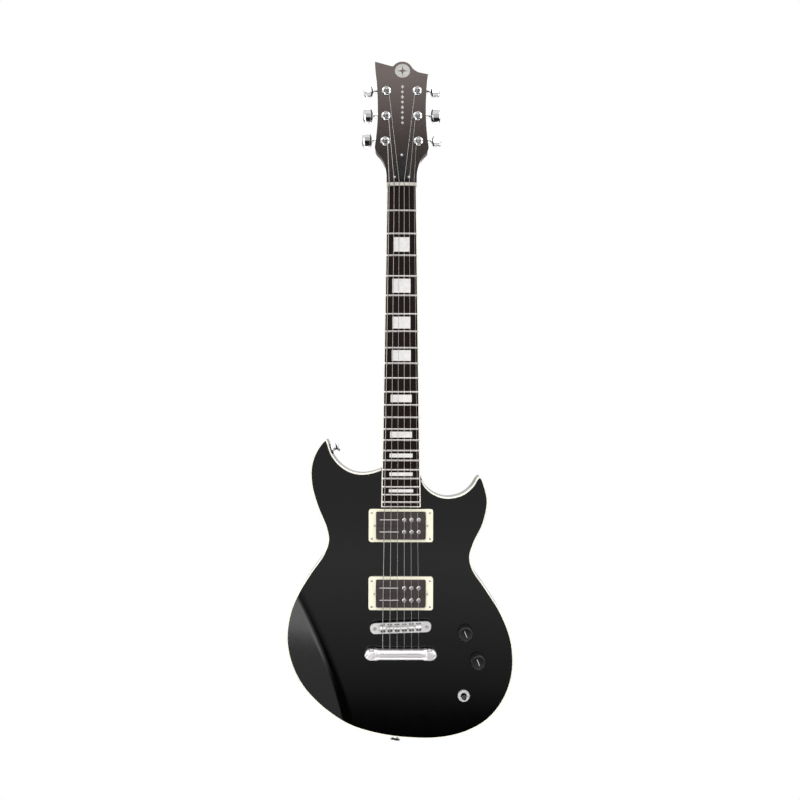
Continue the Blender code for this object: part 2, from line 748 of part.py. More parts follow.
def housing_mesh(side):
    """A box open towards the headstock, round the gear and the worm, with a sleeve for the shaft."""
    outer = rounded([(-10.2, -10.0), (10.2, -10.0), (10.2, 15.8), (-10.2, 15.8)], 2.5, 2)
    inner = [(-9.0, -8.8), (9.0, -8.8), (9.0, 14.6), (-9.0, 14.6)]
    shell = prism(outer, -HOUSING_BACK, -HEAD_THICK - GAP)
    cavity = prism(inner, -HOUSING_BACK + 1.2, -HEAD_THICK + 3)
    way = (0, side * 90, 0)
    sleeve = moved(drilled(3.7, 9.6, 16.8, 12), (0, WORM_OFFSET, -WORM_DEPTH), way)
    bore = moved(drilled(2.7, 5, 20, 12), (0, WORM_OFFSET, -WORM_DEPTH), way)
    return carved(shell, [cavity, bore], [sleeve])


def make_tuners(head_board):
    post = post_mesh()
    housings = {side: housing_mesh(side) for side in (-1, 1)}
    for number, (side, x, y) in enumerate(post_spots(), 1):
        piece(f"tuner_housing_{number}", housings[side], head_board, CHROME, (x, y, 0))
        piece(f"tuner_post_{number}", post, head_board, CHROME, (x, y, 0))
        spot = (x, y + WORM_OFFSET, -WORM_DEPTH)
        key = key_mesh(side * BUTTON_TURNS[number - 1])
        piece(f"tuner_key_{number}", key, head_board, CHROME, spot, (0, side * 90, 0))


# ---- strings ----


def bridge_x(index):
    return (index - 2.5) * BRIDGE_PITCH


def string_route(index):
    """From inside the tailpiece over the saddle and the nut, then round the tuner's post."""
    radius = STRING_RADII[index]
    x = bridge_x(index)
    saddle_y = BRIDGE_Y + x * math.tan(math.radians(BRIDGE_SLANT))
    route = [Vector((x, TAIL_Y - 3, TAIL_HOLE_Z)), Vector((x, TAIL_Y + TAIL_DEEP / 2 + 0.8, TAIL_HOLE_Z))]
    route.append(Vector((x, saddle_y, SADDLE_TOP - crown(x) + radius)))
    neck = neck_on_body()
    head = neck @ head_on_neck()
    over = STRING_OVER_BOARD - crown(nut_x(index)) + radius
    route.append(neck @ Vector((nut_x(index), -0.4, over)))
    route.append(neck @ Vector((nut_x(index), NUT_THICK + 0.2, over)))
    side, post_x, post_y = post_spots()[index]
    winding = WAIST_RADIUS + GAP + radius
    leaving = head.inverted() @ route[-1]
    back = Vector((leaving.x - post_x, leaving.y - post_y))
    start = math.atan2(back.y, back.x) - side * math.acos(winding / back.length)
    steps = round(10 * WRAP_TURNS)
    for step in range(steps + 1):
        angle = start - side * math.tau * step / 10
        z = 6.0 - (2 * radius + 0.3) * step / 10
        point = (post_x + winding * math.cos(angle), post_y + winding * math.sin(angle), z)
        route.append(head @ Vector(point))
    return route


def make_strings(front):
    for index, radius in enumerate(STRING_RADII):
        curve = bpy.data.curves.new(f"string_{index + 1}", "CURVE")
        curve.dimensions = "3D"
        curve.bevel_depth = MM * radius
        curve.bevel_resolution = 2
        curve.use_fill_caps = True
        route = string_route(index)
        spline = curve.splines.new("POLY")
        spline.points.add(len(route) - 1)
        for point, place in zip(spline.points, route):
            point.co = (*(place * MM), 1)
        obj = bpy.data.objects.new(f"string_{index + 1}", curve)
        bpy.context.scene.collection.objects.link(obj)
        obj.parent = front
        curve.materials.append(finish(obj.name, *STEEL))


# ---- bridge and tailpiece ----


def make_bridge(front):
    turn = Matrix.Rotation(math.radians(BRIDGE_SLANT), 4, "Z")
    bridge_board = board("bridge_board", Matrix.Translation((0, BRIDGE_Y, 0)) @ turn, front)
    bar = prism(rectangle(2 * BRIDGE_HALF, BRIDGE_DEEP, 6.6, steps=5), BRIDGE_LOW, BRIDGE_HIGH)
    trough = prism(rectangle(2 * TROUGH_HALF, TROUGH_DEEP, 1, steps=2), TROUGH_FLOOR, BRIDGE_HIGH + 3)
    holes = [moved(drilled(2.7, 0, 20), (side * BRIDGE_POST_X, 0, 0)) for side in (-1, 1)]
    piece("bridge_body", carved(bar, [trough, *holes]), bridge_board, CHROME)
    profile = [
        (0, -22), (3.0, -22), (3.0, 5.2), (6.8, 5.2), (6.8, BRIDGE_LOW - GAP),
        (2.3, BRIDGE_LOW - GAP), (2.3, BRIDGE_HIGH - 0.4), (0, BRIDGE_HIGH - 0.4),
    ]
    post = mesh_of(turned(profile, 16))
    for name, side in (("bass", -1), ("treble", 1)):
        piece(f"bridge_post_{name}", post, bridge_board, CHROME, (side * BRIDGE_POST_X, 0, 0))
    for index in range(6):
        x = bridge_x(index) / math.cos(math.radians(BRIDGE_SLANT))
        ridge = SADDLE_TOP - crown(bridge_x(index)) - GAP
        base, half = TROUGH_FLOOR + GAP, SADDLE_DEEP / 2
        side_view = [
            (-half, base), (half, base), (half, 13.0), (0.35, ridge), (-0.35, ridge), (-half, 13.0),
        ]
        shape = prism(side_view, -SADDLE_WIDE / 2, SADDLE_WIDE / 2)
        shape = moved(moved(shape, turn=(90, 0, 0)), turn=(0, 0, 90))
        piece(f"saddle_{index + 1}", mesh_of(shape), bridge_board, CHROME, (x, 0, 0))


def make_tailpiece(front):
    lug_deep = 17.0
    lugs = prism(rectangle(2 * TAIL_HALF, lug_deep, 8.4, steps=5), TAIL_LOW, TAIL_HIGH)
    waist_cuts = []
    for way in (-1, 1):
        shave = rectangle(66, 4, 0, (0, way * (TAIL_DEEP / 2 + 2)))
        waist_cuts.append(prism(shave, TAIL_LOW - 2, TAIL_HIGH + 2))
    slots = []
    for side in (-1, 1):
        slot = arc((side * TAIL_STUD_X, 0), 3.9, 180, 360, 8)
        slot += [Vector((side * TAIL_STUD_X + 3.9, 14)), Vector((side * TAIL_STUD_X - 3.9, 14))]
        slots.append(prism(slot, TAIL_LOW - 2, TAIL_HIGH + 2))
    holes = []
    for index in range(6):
        place = (bridge_x(index), 0, TAIL_HOLE_Z)
        holes.append(moved(drilled(1.8, -14, 14, 10), place, (90, 0, 0)))
    mesh = carved(lugs, [*waist_cuts, *slots, *holes])
    piece("tailpiece", mesh, front, CHROME, (0, TAIL_Y, 0))
    profile = [
        (0, -22), (4.8, -22), (4.8, 0.6), (6.4, 0.6), (6.4, TAIL_LOW - GAP),
        (3.5, TAIL_LOW - GAP), (3.5, TAIL_HIGH + GAP), (6.3, TAIL_HIGH + GAP),
        (6.3, 18.6), (5.4, 19.4), (0, 19.4),
    ]
    stud = mesh_of(turned(profile, 16))
    for name, side in (("bass", -1), ("treble", 1)):
        piece(f"tailpiece_stud_{name}", stud, front, CHROME, (side * TAIL_STUD_X, TAIL_Y, 0))


# ---- pickups ----


def make_pickups(front):
    for name, y, ring_top, pickup_top in PICKUPS:
        blank = prism(rectangle(*RING_SIZE, 3.5), GAP, ring_top)
        ring = carved(blank, [prism(rectangle(*RING_HOLE, 1.5), -5, 20)])
        piece(f"{name}_pickup_ring", ring, front, CREAM, (0, y, 0))
        foot = pickup_top - PICKUP_TALL
        case = prism(rectangle(*PICKUP_SIZE, 2), foot, pickup_top)
        feet = prism(rectangle(83, 13, 1), foot - 1, foot + 0.4)
        piece(f"{name}_pickup", carved(case, joins=[feet]), front, BLACK_PLASTIC, (0, y, 0))


# ---- controls ----


def make_controls(front):
    knob = [
        (0, -16), (3.0, -16), (3.0, 4.6), (8.8, 4.6), (8.8, 1.0), (11.4, 1.0),
        (11.2, 8.0), (10.5, 13.6), (9.6, 14.8), (0, 15.2),
    ]
    pot = [
        (3.4, 3.2), (4.7, 3.2), (4.7, 2.3), (7.2, 2.3), (7.2, GAP), (4.7, GAP), (4.7, -5.8),
        (12.0, -5.8), (12.0, -17.0), (3.4, -17.0),
    ]
    knob_mesh = mesh_of(turned(knob, 20))
    pot_mesh = mesh_of(turned(pot, 12, hollow=True))
    for name, x, y in KNOB_PLACES:
        piece(f"{name}_knob", knob_mesh, front, BLACK_PLASTIC, (x, y, 0))
        piece(f"{name}_pot", pot_mesh, front, STEEL, (x, y, 0))
    sleeve = [
        (4.4, 3.4), (6.4, 3.4), (6.4, 2.8), (8.4, 2.8), (8.4, GAP), (6.0, GAP),
        (6.0, -11.5), (4.4, -11.5),
    ]
    frame = prism(rectangle(14, 34, 1), -26, -10)
    hollow = prism(rectangle(9, 30, 1), -28, -12.5)
    passage = drilled(4.4, -14, -9)
    switch = carved(turned(sleeve, 20, hollow=True), [hollow, passage], [frame])
    piece("selector_switch", switch, front, STEEL, (*SWITCH_PLACE, 0))
    lever = [
        (0, -8), (1.4, -8), (1.4, -2.2), (2.6, -0.8), (2.6, 0.8), (1.6, 2.2), (1.6, 11.4),
        (2.2, 11.6), (3.1, 20.5), (2.4, 23.0), (0, 23.8),
    ]
    spot = (*SWITCH_PLACE, LEVER_PIVOT_Z)
    piece("selector_lever", mesh_of(turned(lever, 12)), front, BLACK_PLASTIC, spot)


def make_jack(front):
    """The jack and its plate are drawn with z pointing out of the body's side."""
    plate = carved(drilled(15.4, -JACK_PLATE_THICK, 0, 28), [drilled(5.1, -5, 5)])
    spot, way = (JACK_FACE_X, JACK_Y, JACK_Z), (0, 90, 0)
    piece("jack_plate", plate, front, CHROME, spot, way)
    sleeve = [
        (3.3, 2.7), (4.7, 2.7), (4.7, 2.2), (6.8, 2.2), (6.8, GAP), (4.7, GAP), (4.7, -3.2), (8.0, -3.2),
        (8.0, -5.6), (4.7, -5.6), (4.7, -12), (3.3, -12),
    ]
    arm = block((5.6, -2, -26), (6.4, 2, -5))
    hook = block((3.6, -2, -26), (6.4, 2, -25))
    jack = carved(turned(sleeve, 16, hollow=True), joins=[arm, hook])
    piece("output_jack", jack, front, STEEL, spot, way)


def make_strap_buttons(front):
    profile = [
        (0, -18), (1.7, -18), (1.7, 0.9), (5.2, 0.9), (4.4, 2.2), (3.4, 4.4), (3.6, 7.6), (6.8, 9.4),
        (7.3, 10.6), (6.6, 11.8), (0, 11.8),
    ]
    mesh = mesh_of(turned(profile, 16))
    for name, (x, y, way) in (("upper", UPPER_BUTTON), ("lower", LOWER_BUTTON)):
        piece(f"strap_button_{name}", mesh, front, CHROME, (x, y, -BODY_THICK / 2), (0, 90, way))


def main():
    clear_scene()
    front = board("body_board", body_board_matrix())
    neck_board = board("neck_board", neck_on_body(), front)
    head_board = board("head_board", head_on_neck(), neck_board)
    make_body(front)
    make_neck(neck_board, head_board)
    make_truss_rod(neck_board, head_board)
    make_fretboard(neck_board)
    make_nut(neck_board)
    make_tuners(head_board)
    make_strings(front)
    make_bridge(front)
    make_tailpiece(front)
    make_pickups(front)
    make_controls(front)
    make_jack(front)
    make_strap_buttons(front)


main()
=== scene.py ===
import math

import bpy
from mathutils import Euler, Matrix, Vector


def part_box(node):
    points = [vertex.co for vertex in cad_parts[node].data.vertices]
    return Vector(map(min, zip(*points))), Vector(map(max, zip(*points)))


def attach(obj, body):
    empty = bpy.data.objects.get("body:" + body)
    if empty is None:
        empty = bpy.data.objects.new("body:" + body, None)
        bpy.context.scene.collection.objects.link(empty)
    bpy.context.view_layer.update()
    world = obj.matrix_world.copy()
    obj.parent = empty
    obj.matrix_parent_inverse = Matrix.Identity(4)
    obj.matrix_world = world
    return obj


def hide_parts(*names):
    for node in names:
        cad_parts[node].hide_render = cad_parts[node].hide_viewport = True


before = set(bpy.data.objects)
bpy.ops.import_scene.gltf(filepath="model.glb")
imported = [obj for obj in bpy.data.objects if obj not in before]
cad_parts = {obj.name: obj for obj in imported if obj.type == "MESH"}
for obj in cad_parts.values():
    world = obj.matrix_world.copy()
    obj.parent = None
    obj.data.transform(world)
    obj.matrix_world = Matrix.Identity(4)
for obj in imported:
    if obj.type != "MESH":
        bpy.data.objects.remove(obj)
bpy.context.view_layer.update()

# Every piece is drawn in millimetres on one of three boards: the body's front, the fretboard's top
# and the headstock's face. On each, x runs right, y up the neck and z out of the front.
layout = {
    "hangerUp": 30.0,  # the origin's height over the nut's lower edge
    "scale": 628.65,
    "frets": 22,
    "neckTilt": 2.2,
    "boardEnd": 459.5,
    "boardRise": 7.0,
    "boardRadius": 305.0,
    "halfAtNut": 21.5,
    "halfAtEnd": 28.0,
    "headTilt": 11.0,
    "headDrop": 4.5,
    "nutThick": 5.0,
    "pickups": {"neck": -485.5, "bridge": -581.5},
    "bridge": -628.8,
    "bridgeSlant": 2.3,
    "bridgeStud": 36.7,  # from the middle line
    "tailpiece": -667.4,
    "tailStud": 41.0,
    "stringGap": 10.14,
    "knobs": {"volume": (92.0, -638.0), "tone": (109.8, -677.7)},
    "selector": (89.9, -727.6),
    "jack": (159.6, -684.0, -23.0),
}
mergeWithin = 0.0005  # millimetres
turnBack = math.radians(-layout["neckTilt"])
boardDrop = layout["boardRise"] - layout["boardEnd"] * math.tan(-turnBack)
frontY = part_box("body")[0].y
frontBoard = Matrix.Translation((0, frontY, -layout["hangerUp"] * 0.001))
frontBoard = frontBoard @ Matrix.Rotation(math.pi / 2, 4, "X") @ Matrix.Scale(0.001, 4)
neckBoard = frontBoard @ Matrix.Translation((0, 0, boardDrop)) @ Matrix.Rotation(turnBack, 4, "X")
headBoard = neckBoard @ Matrix.Translation((0, layout["nutThick"], -layout["headDrop"]))
headBoard = headBoard @ Matrix.Rotation(math.radians(-layout["headTilt"]), 4, "X")


def freshStart():
    if bpy.context.mode != "OBJECT":
        bpy.ops.object.mode_set(mode="OBJECT")
    bpy.ops.object.select_all(action="DESELECT")


def pick(obj):
    freshStart()
    obj.select_set(True)
    bpy.context.view_layer.objects.active = obj
    return obj


def editAll(obj):
    pick(obj)
    bpy.ops.object.mode_set(mode="EDIT")
    bpy.ops.mesh.select_all(action="SELECT")


def closeUp(obj):
    editAll(obj)
    bpy.ops.mesh.remove_doubles(threshold=mergeWithin)
    bpy.ops.mesh.select_all(action="DESELECT")
    bpy.ops.mesh.select_non_manifold(extend=False)
    bpy.ops.mesh.fill_holes(sides=0)
    bpy.ops.mesh.select_all(action="SELECT")
    bpy.ops.mesh.normals_make_consistent(inside=False)
    bpy.ops.object.mode_set(mode="OBJECT")
    return obj


def outlinePiece(name, points, low, high):
    # a flat outline, extruded from one height to another
    freshStart()
    bpy.ops.mesh.primitive_circle_add(vertices=len(points), radius=1, fill_type="NGON")
    obj = bpy.context.object
    obj.name = name
    for vert, point in zip(obj.data.vertices, points):
        vert.co = (point[0], point[1], low)
    editAll(obj)
    bpy.ops.mesh.extrude_region_move(TRANSFORM_OT_translate={"value": (0, 0, high - low)})
    return closeUp(obj)


def turnedPiece(name, profile, steps=32):
    # (radius, height) points spun about z
    freshStart()
    bpy.ops.mesh.primitive_plane_add(size=1)
    obj = bpy.context.object
    obj.name = name
    editAll(obj)
    bpy.ops.mesh.merge(type="CENTER")
    bpy.ops.transform.translate(value=(profile[0][0], 0, profile[0][1]))
    for before, after in zip(profile, profile[1:]):
        step = (after[0] - before[0], 0, after[1] - before[1])
        bpy.ops.mesh.extrude_vertices_move(TRANSFORM_OT_translate={"value": step})
    bpy.ops.mesh.select_all(action="SELECT")
    bpy.ops.mesh.spin(steps=steps, angle=math.tau, center=(0, 0, 0), axis=(0, 0, 1))
    return closeUp(obj)


def loftedPiece(name, rings):
    # rings of points bridged in order and capped at both ends
    freshStart()
    across = len(rings[0])
    bpy.ops.mesh.primitive_grid_add(x_subdivisions=across, y_subdivisions=len(rings) - 1)
    obj = bpy.context.object
    obj.name = name
    flat = [point for ring in rings for point in [*ring, ring[0]]]
    for vert, point in zip(obj.data.vertices, flat):
        vert.co = point
    return closeUp(obj)


def pegProfile(radius, low, high):
    # the profile of a plain round peg
    return [(0, low), (radius, low), (radius, high), (0, high)]


def blockPiece(name, low, high):
    corners = [(low[0], low[1]), (high[0], low[1]), (high[0], high[1]), (low[0], high[1])]
    return outlinePiece(name, corners, low[2], high[2])


def applied(obj, kind, **settings):
    pick(obj)
    modifier = obj.modifiers.new(kind.lower(), kind)
    for key, value in settings.items():
        setattr(modifier, key, value)
    bpy.ops.object.modifier_apply(modifier=modifier.name)
    return obj


def softened(obj, width, segments=2, angle=30):
    return applied(
        obj, "BEVEL", width=width, segments=segments, limit_method="ANGLE",
        angle_limit=math.radians(angle), miter_outer="MITER_ARC", harden_normals=False,
    )


def cutBy(obj, cutters, operation="DIFFERENCE"):
    for cutter in cutters:
        applied(obj, "BOOLEAN", object=cutter, operation=operation, solver="EXACT")
        bpy.data.objects.remove(cutter)
    return obj


def joined(name, pieces):
    first = pick(pieces[0])
    for piece in pieces:
        piece.select_set(True)
    bpy.ops.object.join()
    first.name = name
    return first


def again(obj, name):
    twin = obj.copy()
    twin.data = obj.data.copy()
    twin.name = name
    bpy.context.scene.collection.objects.link(twin)
    return twin


def shifted(obj, place=(0, 0, 0), turn=(0, 0, 0), board=Matrix()):
    # turned about x, then y, then z, moved, and put on its board, all in its own mesh
    pick(obj)
    angles = [math.radians(angle) for angle in turn]
    obj.matrix_world = board @ Matrix.Translation(place) @ Euler(angles).to_matrix().to_4x4()
    bpy.ops.object.transform_apply(location=True, rotation=True, scale=True)
    return obj


def settled(obj, board, look, place=(0, 0, 0), turn=(0, 0, 0), body="guitar", stands=(), smooth=35):
    # puts a piece on its board for good, gives it its finish and lets it ride
    shifted(obj, place, turn, board)
    bpy.ops.object.shade_smooth_by_angle(angle=math.radians(smooth))
    applied(obj, "WEIGHTED_NORMAL", mode="FACE_AREA_WITH_ANGLE", weight=60, keep_sharp=True)
    obj.data.materials.clear()
    obj.data.materials.append(looks[look])
    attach(obj, body)
    if stands:
        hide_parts(*stands)
    return obj


def refined(node, look, bevel=0.0, body="guitar", smooth=35, segments=2):
    # a merged copy of a CAD node with its edges eased
    obj = again(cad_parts[node], node + "_look")
    for key in list(obj.keys()):
        del obj[key]
    obj.parent = None
    obj.hide_render = False
    obj.hide_viewport = False
    editAll(obj)
    bpy.ops.mesh.remove_doubles(threshold=2e-6)
    bpy.ops.mesh.dissolve_limited(angle_limit=math.radians(1.0))
    bpy.ops.object.mode_set(mode="OBJECT")
    if bevel:
        softened(obj, bevel * 0.001, segments)
    return settled(obj, Matrix(), look, body=body, stands=[node], smooth=smooth)


def smoothPoints(knots, step, closed=False):
    # a centripetal Catmull-Rom curve through the knots
    knots = [Vector(knot) for knot in knots]
    count = len(knots)
    points = []
    for index in range(count if closed else count - 1):
        here, there = knots[index], knots[(index + 1) % count]
        before = knots[index - 1] if closed or index else 2 * here - there
        after = knots[(index + 2) % count] if closed or index + 2 < count else 2 * there - here
        a, b, c = (math.sqrt((q - p).length) for p, q in ((before, here), (here, there), (there, after)))
        leave = b * ((here - before) / a - (there - before) / (a + b) + (there - here) / b)
        arrive = b * ((there - here) / b - (after - here) / (b + c) + (after - there) / c)
        parts = max(1, round((there - here).length / step))
        for part in range(parts):
            t = part / parts
            points.append(
                (2 * t**3 - 3 * t**2 + 1) * here + (t**3 - 2 * t**2 + t) * leave
                + (3 * t**2 - 2 * t**3) * there + (t**3 - t**2) * arrive
            )
    return points if closed else [*points, knots[-1]]


def inward(points, closed=True):
    normals = []
    last = len(points) - 1
    for index, point in enumerate(points):
        before = points[index - 1] if closed or index else 2 * point - points[1]
        after = points[(index + 1) % len(points)] if closed or index < last else 2 * point - points[-2]
        first, second = (point - before).normalized(), (after - point).normalized()
        middle = (first + second).normalized()
        normals.append(Vector((-middle.y, middle.x)) / max(0.5, middle.dot(first)))
    return normals


def arcPoints(centre, radius, start, end, steps):
    angles = [math.radians(start + (end - start) * index / steps) for index in range(steps + 1)]
    return [Vector((centre[0] + radius * math.cos(a), centre[1] + radius * math.sin(a))) for a in angles]


def rounded(wide, tall, radius, steps=6):
    # a rectangle with rounded corners
    points = []
    for turn, (x, y) in enumerate([(1, 1), (-1, 1), (-1, -1), (1, -1)]):
        centre = (x * (wide / 2 - radius), y * (tall / 2 - radius))
        points += arcPoints(centre, radius, turn * 90, turn * 90 + 90, steps)
    return points


def fretAt(number):
    return layout["scale"] * (1 - 2 ** (-number / 12))


def halfWidth(down):
    return layout["halfAtNut"] + (layout["halfAtEnd"] - layout["halfAtNut"]) * down / layout["boardEnd"]


def crown(x):
    return x * x / (2 * layout["boardRadius"])


def slit(piece, long, wide, low, high):
    return cutBy(piece, [blockPiece("slot", (-long, -wide, low), (long, wide, high))])


def crossCut(piece, long, wide, low, high):
    return slit(slit(piece, long, wide, low, high), wide, long, low, high)


def crossScrew(name, radius, tall):
    # a domed head with a crossed slot
    profile = [(0, 0), (radius, 0), (radius * 0.97, tall * 0.35), (radius * 0.75, tall * 0.78), (0, tall)]
    head = turnedPiece(name, profile, 20)
    return crossCut(head, radius * 0.62, radius * 0.13, tall * 0.45, tall + 1)


def slotScrew(name, radius, tall, wide=0.2):
    profile = [(0, 0), (radius, 0), (radius, tall * 0.7), (radius * 0.85, tall), (0, tall)]
    head = turnedPiece(name, profile, 24)
    return slit(head, radius * 1.2, radius * wide / 2, tall * 0.5, tall + 1)


class Wire:
    # a shader socket that takes part in sums
    def __init__(self, tree, socket):
        self.tree = tree
        self.socket = socket

    def node(self, kind, sockets=None, out=0, **settings):
        made = self.tree.nodes.new("ShaderNode" + kind)
        for key, value in settings.items():
            if key == "stops":
                ramp = made.color_ramp
                while len(ramp.elements) < len(value):
                    ramp.elements.new(0.5)
                for element, (position, colour) in zip(ramp.elements, value):
                    element.position = position
                    element.color = (*colour, 1) if len(colour) == 3 else colour
            else:
                setattr(made, key, value)
        for key, value in (sockets or {}).items():
            if isinstance(value, Wire):
                self.tree.links.new(value.socket, made.inputs[key])
            else:
                made.inputs[key].default_value = value
        return Wire(self.tree, made.outputs[out])

    def sum(self, operation, first, second):
        return self.node("Math", {0: first, 1: second}, operation=operation)

    def __add__(self, other):
        return self.sum("ADD", self, other)

    def __rsub__(self, other):
        return self.sum("SUBTRACT", other, self)

    def __mul__(self, other):
        return self.sum("MULTIPLY", self, other)

    def clamp(self, low=0.0, high=1.0, toLow=0.0, toHigh=1.0):
        values = {"Value": self, 1: low, 2: high, 3: toLow, 4: toHigh}
        return self.node("MapRange", values, clamp=True)

    def noise(self, scale, detail=3.0, rough=0.5, stretch=(1, 1, 1)):
        where = self.node("Mapping", {"Vector": self, "Scale": stretch})
        values = {"Vector": where, "Scale": scale, "Detail": detail, "Roughness": rough}
        return self.node("TexNoise", values)

    def blend(self, first, second):
        # from the first colour to the second as this goes from 0 to 1
        pair = {0: self, 6: first, 7: second}
        return self.node("Mix", pair, 2, data_type="RGBA")

    def bump(self, strength, distance):
        return self.node("Bump", {"Height": self, "Strength": strength, "Distance": distance})


def finish(name, build, **fixed):
    # a material whose fixed sockets are set here, and whose changing ones come from build
    material = bpy.data.materials.new(name)
    material.use_nodes = True
    tree = material.node_tree
    shader = tree.nodes["Principled BSDF"]
    for key, value in fixed.items():
        socket = shader.inputs[key.replace("_", " ")]
        socket.default_value = (*value, 1) if isinstance(value, tuple) else value
    place = Wire(tree, tree.nodes.new("ShaderNodeTexCoord").outputs["Object"])
    for key, wire in build(place).items():
        tree.links.new(wire.socket, shader.inputs[key.replace("_", " ")])
    return material


def lacquerOver(dark, light, roughness):
    # clear gloss over colour: faint depth, polishing haze and the slightest orange peel
    def build(place):
        haze = place.noise(9, 4, 0.55)
        swirl = place.noise(260, 2, 0.6, (1, 1, 0.35))
        depth = place.noise(3.2, 5, 0.6, (1, 1, 0.25))
        rough = (haze * 0.5 + swirl * 0.5).clamp(0.3, 0.7, roughness * 0.8, roughness * 1.35)
        peel = place.noise(420, 1, 0.4)
        return {
            "Base_Color": depth.clamp(0.35, 0.7).blend((*dark, 1), (*light, 1)),
            "Roughness": rough,
            "Normal": peel.bump(0.012, 0.0004),
        }
    return build


def grainOf(dark, light, pore):
    # long dark grain with short open pores, running up the neck
    def build(place):
        grain = place.noise(90, 6, 0.6, (1, 1, 0.05))
        bands = place.noise(22, 3, 0.5, (1, 1, 0.08))
        pores = place.noise(520, 2, 0.7, (1, 1, 0.04)).clamp(0.6, 0.72)
        tone = (grain * 0.6 + bands * 0.4).clamp(0.35, 0.66).blend((*dark, 1), (*light, 1))
        return {
            "Base_Color": pores.blend(tone, (*pore, 1)),
            "Roughness": grain.clamp(0.3, 0.7, 0.38, 0.56) + pores * 0.15,
            "Normal": (1 - pores).bump(0.25, 0.0002),
        }
    return build


def metal(name, bright, dull, low, high, scratch=0.0):
    # plated or drawn metal with fingerprints' haze and fine wiping marks
    def build(place):
        smudge = place.noise(60, 3, 0.6)
        wipe = place.noise(900, 2, 0.6, (1, 1, 0.08))
        made = {
            "Base_Color": smudge.clamp(0.35, 0.75).blend((*bright, 1), (*dull, 1)),
            "Roughness": (smudge * 0.6 + wipe * 0.4).clamp(0.35, 0.7, low, high),
        }
        if scratch:
            made["Normal"] = wipe.bump(scratch, 0.0001)
        return made
    return finish(name, build, Metallic=1.0)


def plastic(name, base, other, low, high, grain=0.0, scale=700, **fixed):
    def build(place):
        cloud = place.noise(35, 4, 0.6)
        made = {
            "Base_Color": cloud.clamp(0.3, 0.7).blend((*base, 1), (*other, 1)),
            "Roughness": place.noise(120, 3, 0.6).clamp(0.3, 0.7, low, high),
        }
        if grain:
            made["Normal"] = place.noise(scale, 2, 0.5).bump(grain, 0.0002)
        return made
    return finish(name, build, **fixed)


def pearlOf(bright, dull):
    # pressed pearl flakes: cloudy cells that shift between cool white and warm grey
    def build(place):
        warp = place.noise(120, 3, 0.6)
        cells = place.node("TexVoronoi", {"Vector": place, "Scale": 190.0, "Randomness": 1.0})
        swirl = (warp * 0.7 + cells * 0.45).clamp(0.25, 0.85)
        return {
            "Base_Color": swirl.blend((*bright, 1), (*dull, 1)),
            "Roughness": swirl.clamp(0, 1, 0.12, 0.26),
        }
    return build


def windings(pitch):
    # fine wire wound round a core: close rings along the string
    def build(place):
        ring = place.node("TexWave", {"Vector": place, "Scale": pitch}, bands_direction="Z")
        wear = place.noise(70, 3, 0.6)
        return {
            "Base_Color": wear.clamp(0.3, 0.7).blend((0.5, 0.495, 0.485, 1), (0.4, 0.39, 0.375, 1)),
            "Roughness": wear.clamp(0.3, 0.7, 0.22, 0.38),
            "Normal": ring.bump(0.5, 0.0001),
        }
    return build


looks = {
    "blackLacquer": finish(
        "black_lacquer", lacquerOver((0.0004, 0.0004, 0.0004), (0.0007, 0.0006, 0.0006), 0.07),
        Coat_Weight=0.0, IOR=1.5,
    ),
    "headFace": finish(
        "head_veneer", lacquerOver((0.012, 0.009, 0.0082), (0.019, 0.0145, 0.0132), 0.11), IOR=1.55,
        Specular_Tint=(1.0, 0.84, 0.8),
    ),
    "cream": plastic("cream_binding", (0.90, 0.87, 0.78), (0.87, 0.83, 0.73), 0.22, 0.36, IOR=1.48),
    "ringCream": plastic(
        "cream_ring", (0.93, 0.90, 0.72), (0.90, 0.86, 0.68), 0.25, 0.4, 0.03, 500, IOR=1.48
    ),
    "darkBoard": finish(
        "dark_board", grainOf((0.006, 0.003, 0.0022), (0.015, 0.0075, 0.0055), (0.002, 0.0014, 0.001)),
        Specular_IOR_Level=0.09,
    ),
    "pearl": finish("pressed_pearl", pearlOf((0.86, 0.84, 0.835), (0.73, 0.71, 0.705)), IOR=1.5),
    "headPearl": finish("head_pearl", pearlOf((0.5, 0.485, 0.465), (0.38, 0.37, 0.355)), IOR=1.5),
    "coverGloss": plastic(
        "rod_cover_gloss", (0.004, 0.0033, 0.003), (0.007, 0.006, 0.0055), 0.1, 0.16, IOR=1.5
    ),
    "chrome": metal("chrome_plate", (0.86, 0.855, 0.86), (0.80, 0.79, 0.80), 0.05, 0.13),
    "satin": metal("satin_chrome", (0.95, 0.93, 0.93), (0.9, 0.875, 0.88), 0.4, 0.5),
    "tailSatin": metal("tail_satin", (0.84, 0.815, 0.82), (0.77, 0.74, 0.75), 0.4, 0.5),
    "nickel": metal("fret_nickel", (0.62, 0.59, 0.57), (0.52, 0.49, 0.475), 0.2, 0.34, 0.06),
    "steel": metal("plain_steel", (0.56, 0.56, 0.57), (0.46, 0.46, 0.47), 0.22, 0.4, 0.08),
    "woundString": finish("wound_string", windings(420.0), Metallic=1.0),
    "plainString": metal("plain_string", (0.8, 0.8, 0.79), (0.7, 0.7, 0.69), 0.3, 0.42),
    "blackPlastic": plastic(
        "black_plastic", (0.006, 0.006, 0.0065), (0.011, 0.0105, 0.0105), 0.16, 0.3, 0.02, IOR=1.5
    ),
    "bobbin": plastic(
        "bobbin_black", (0.03, 0.022, 0.021), (0.042, 0.032, 0.03), 0.3, 0.45, 0.06, 900, IOR=1.5
    ),
    # polished bone for the nut; the knob tops' pale strips use it as a painted highlight
    "bone": plastic("bone_and_painted_highlight", (0.58, 0.55, 0.5), (0.5, 0.47, 0.42), 0.25, 0.4, 0.04, 400),
    # dark plastic for the side dots and felt washers, also used as painted shade on the bridge trough's
    # floor
    "dark": plastic("dark_plastic_and_painted_shade", (0.004, 0.004, 0.004), (0.008, 0.0075, 0.007), 0.6, 0.8, 0.05, 600),
}
print("finishes ready")


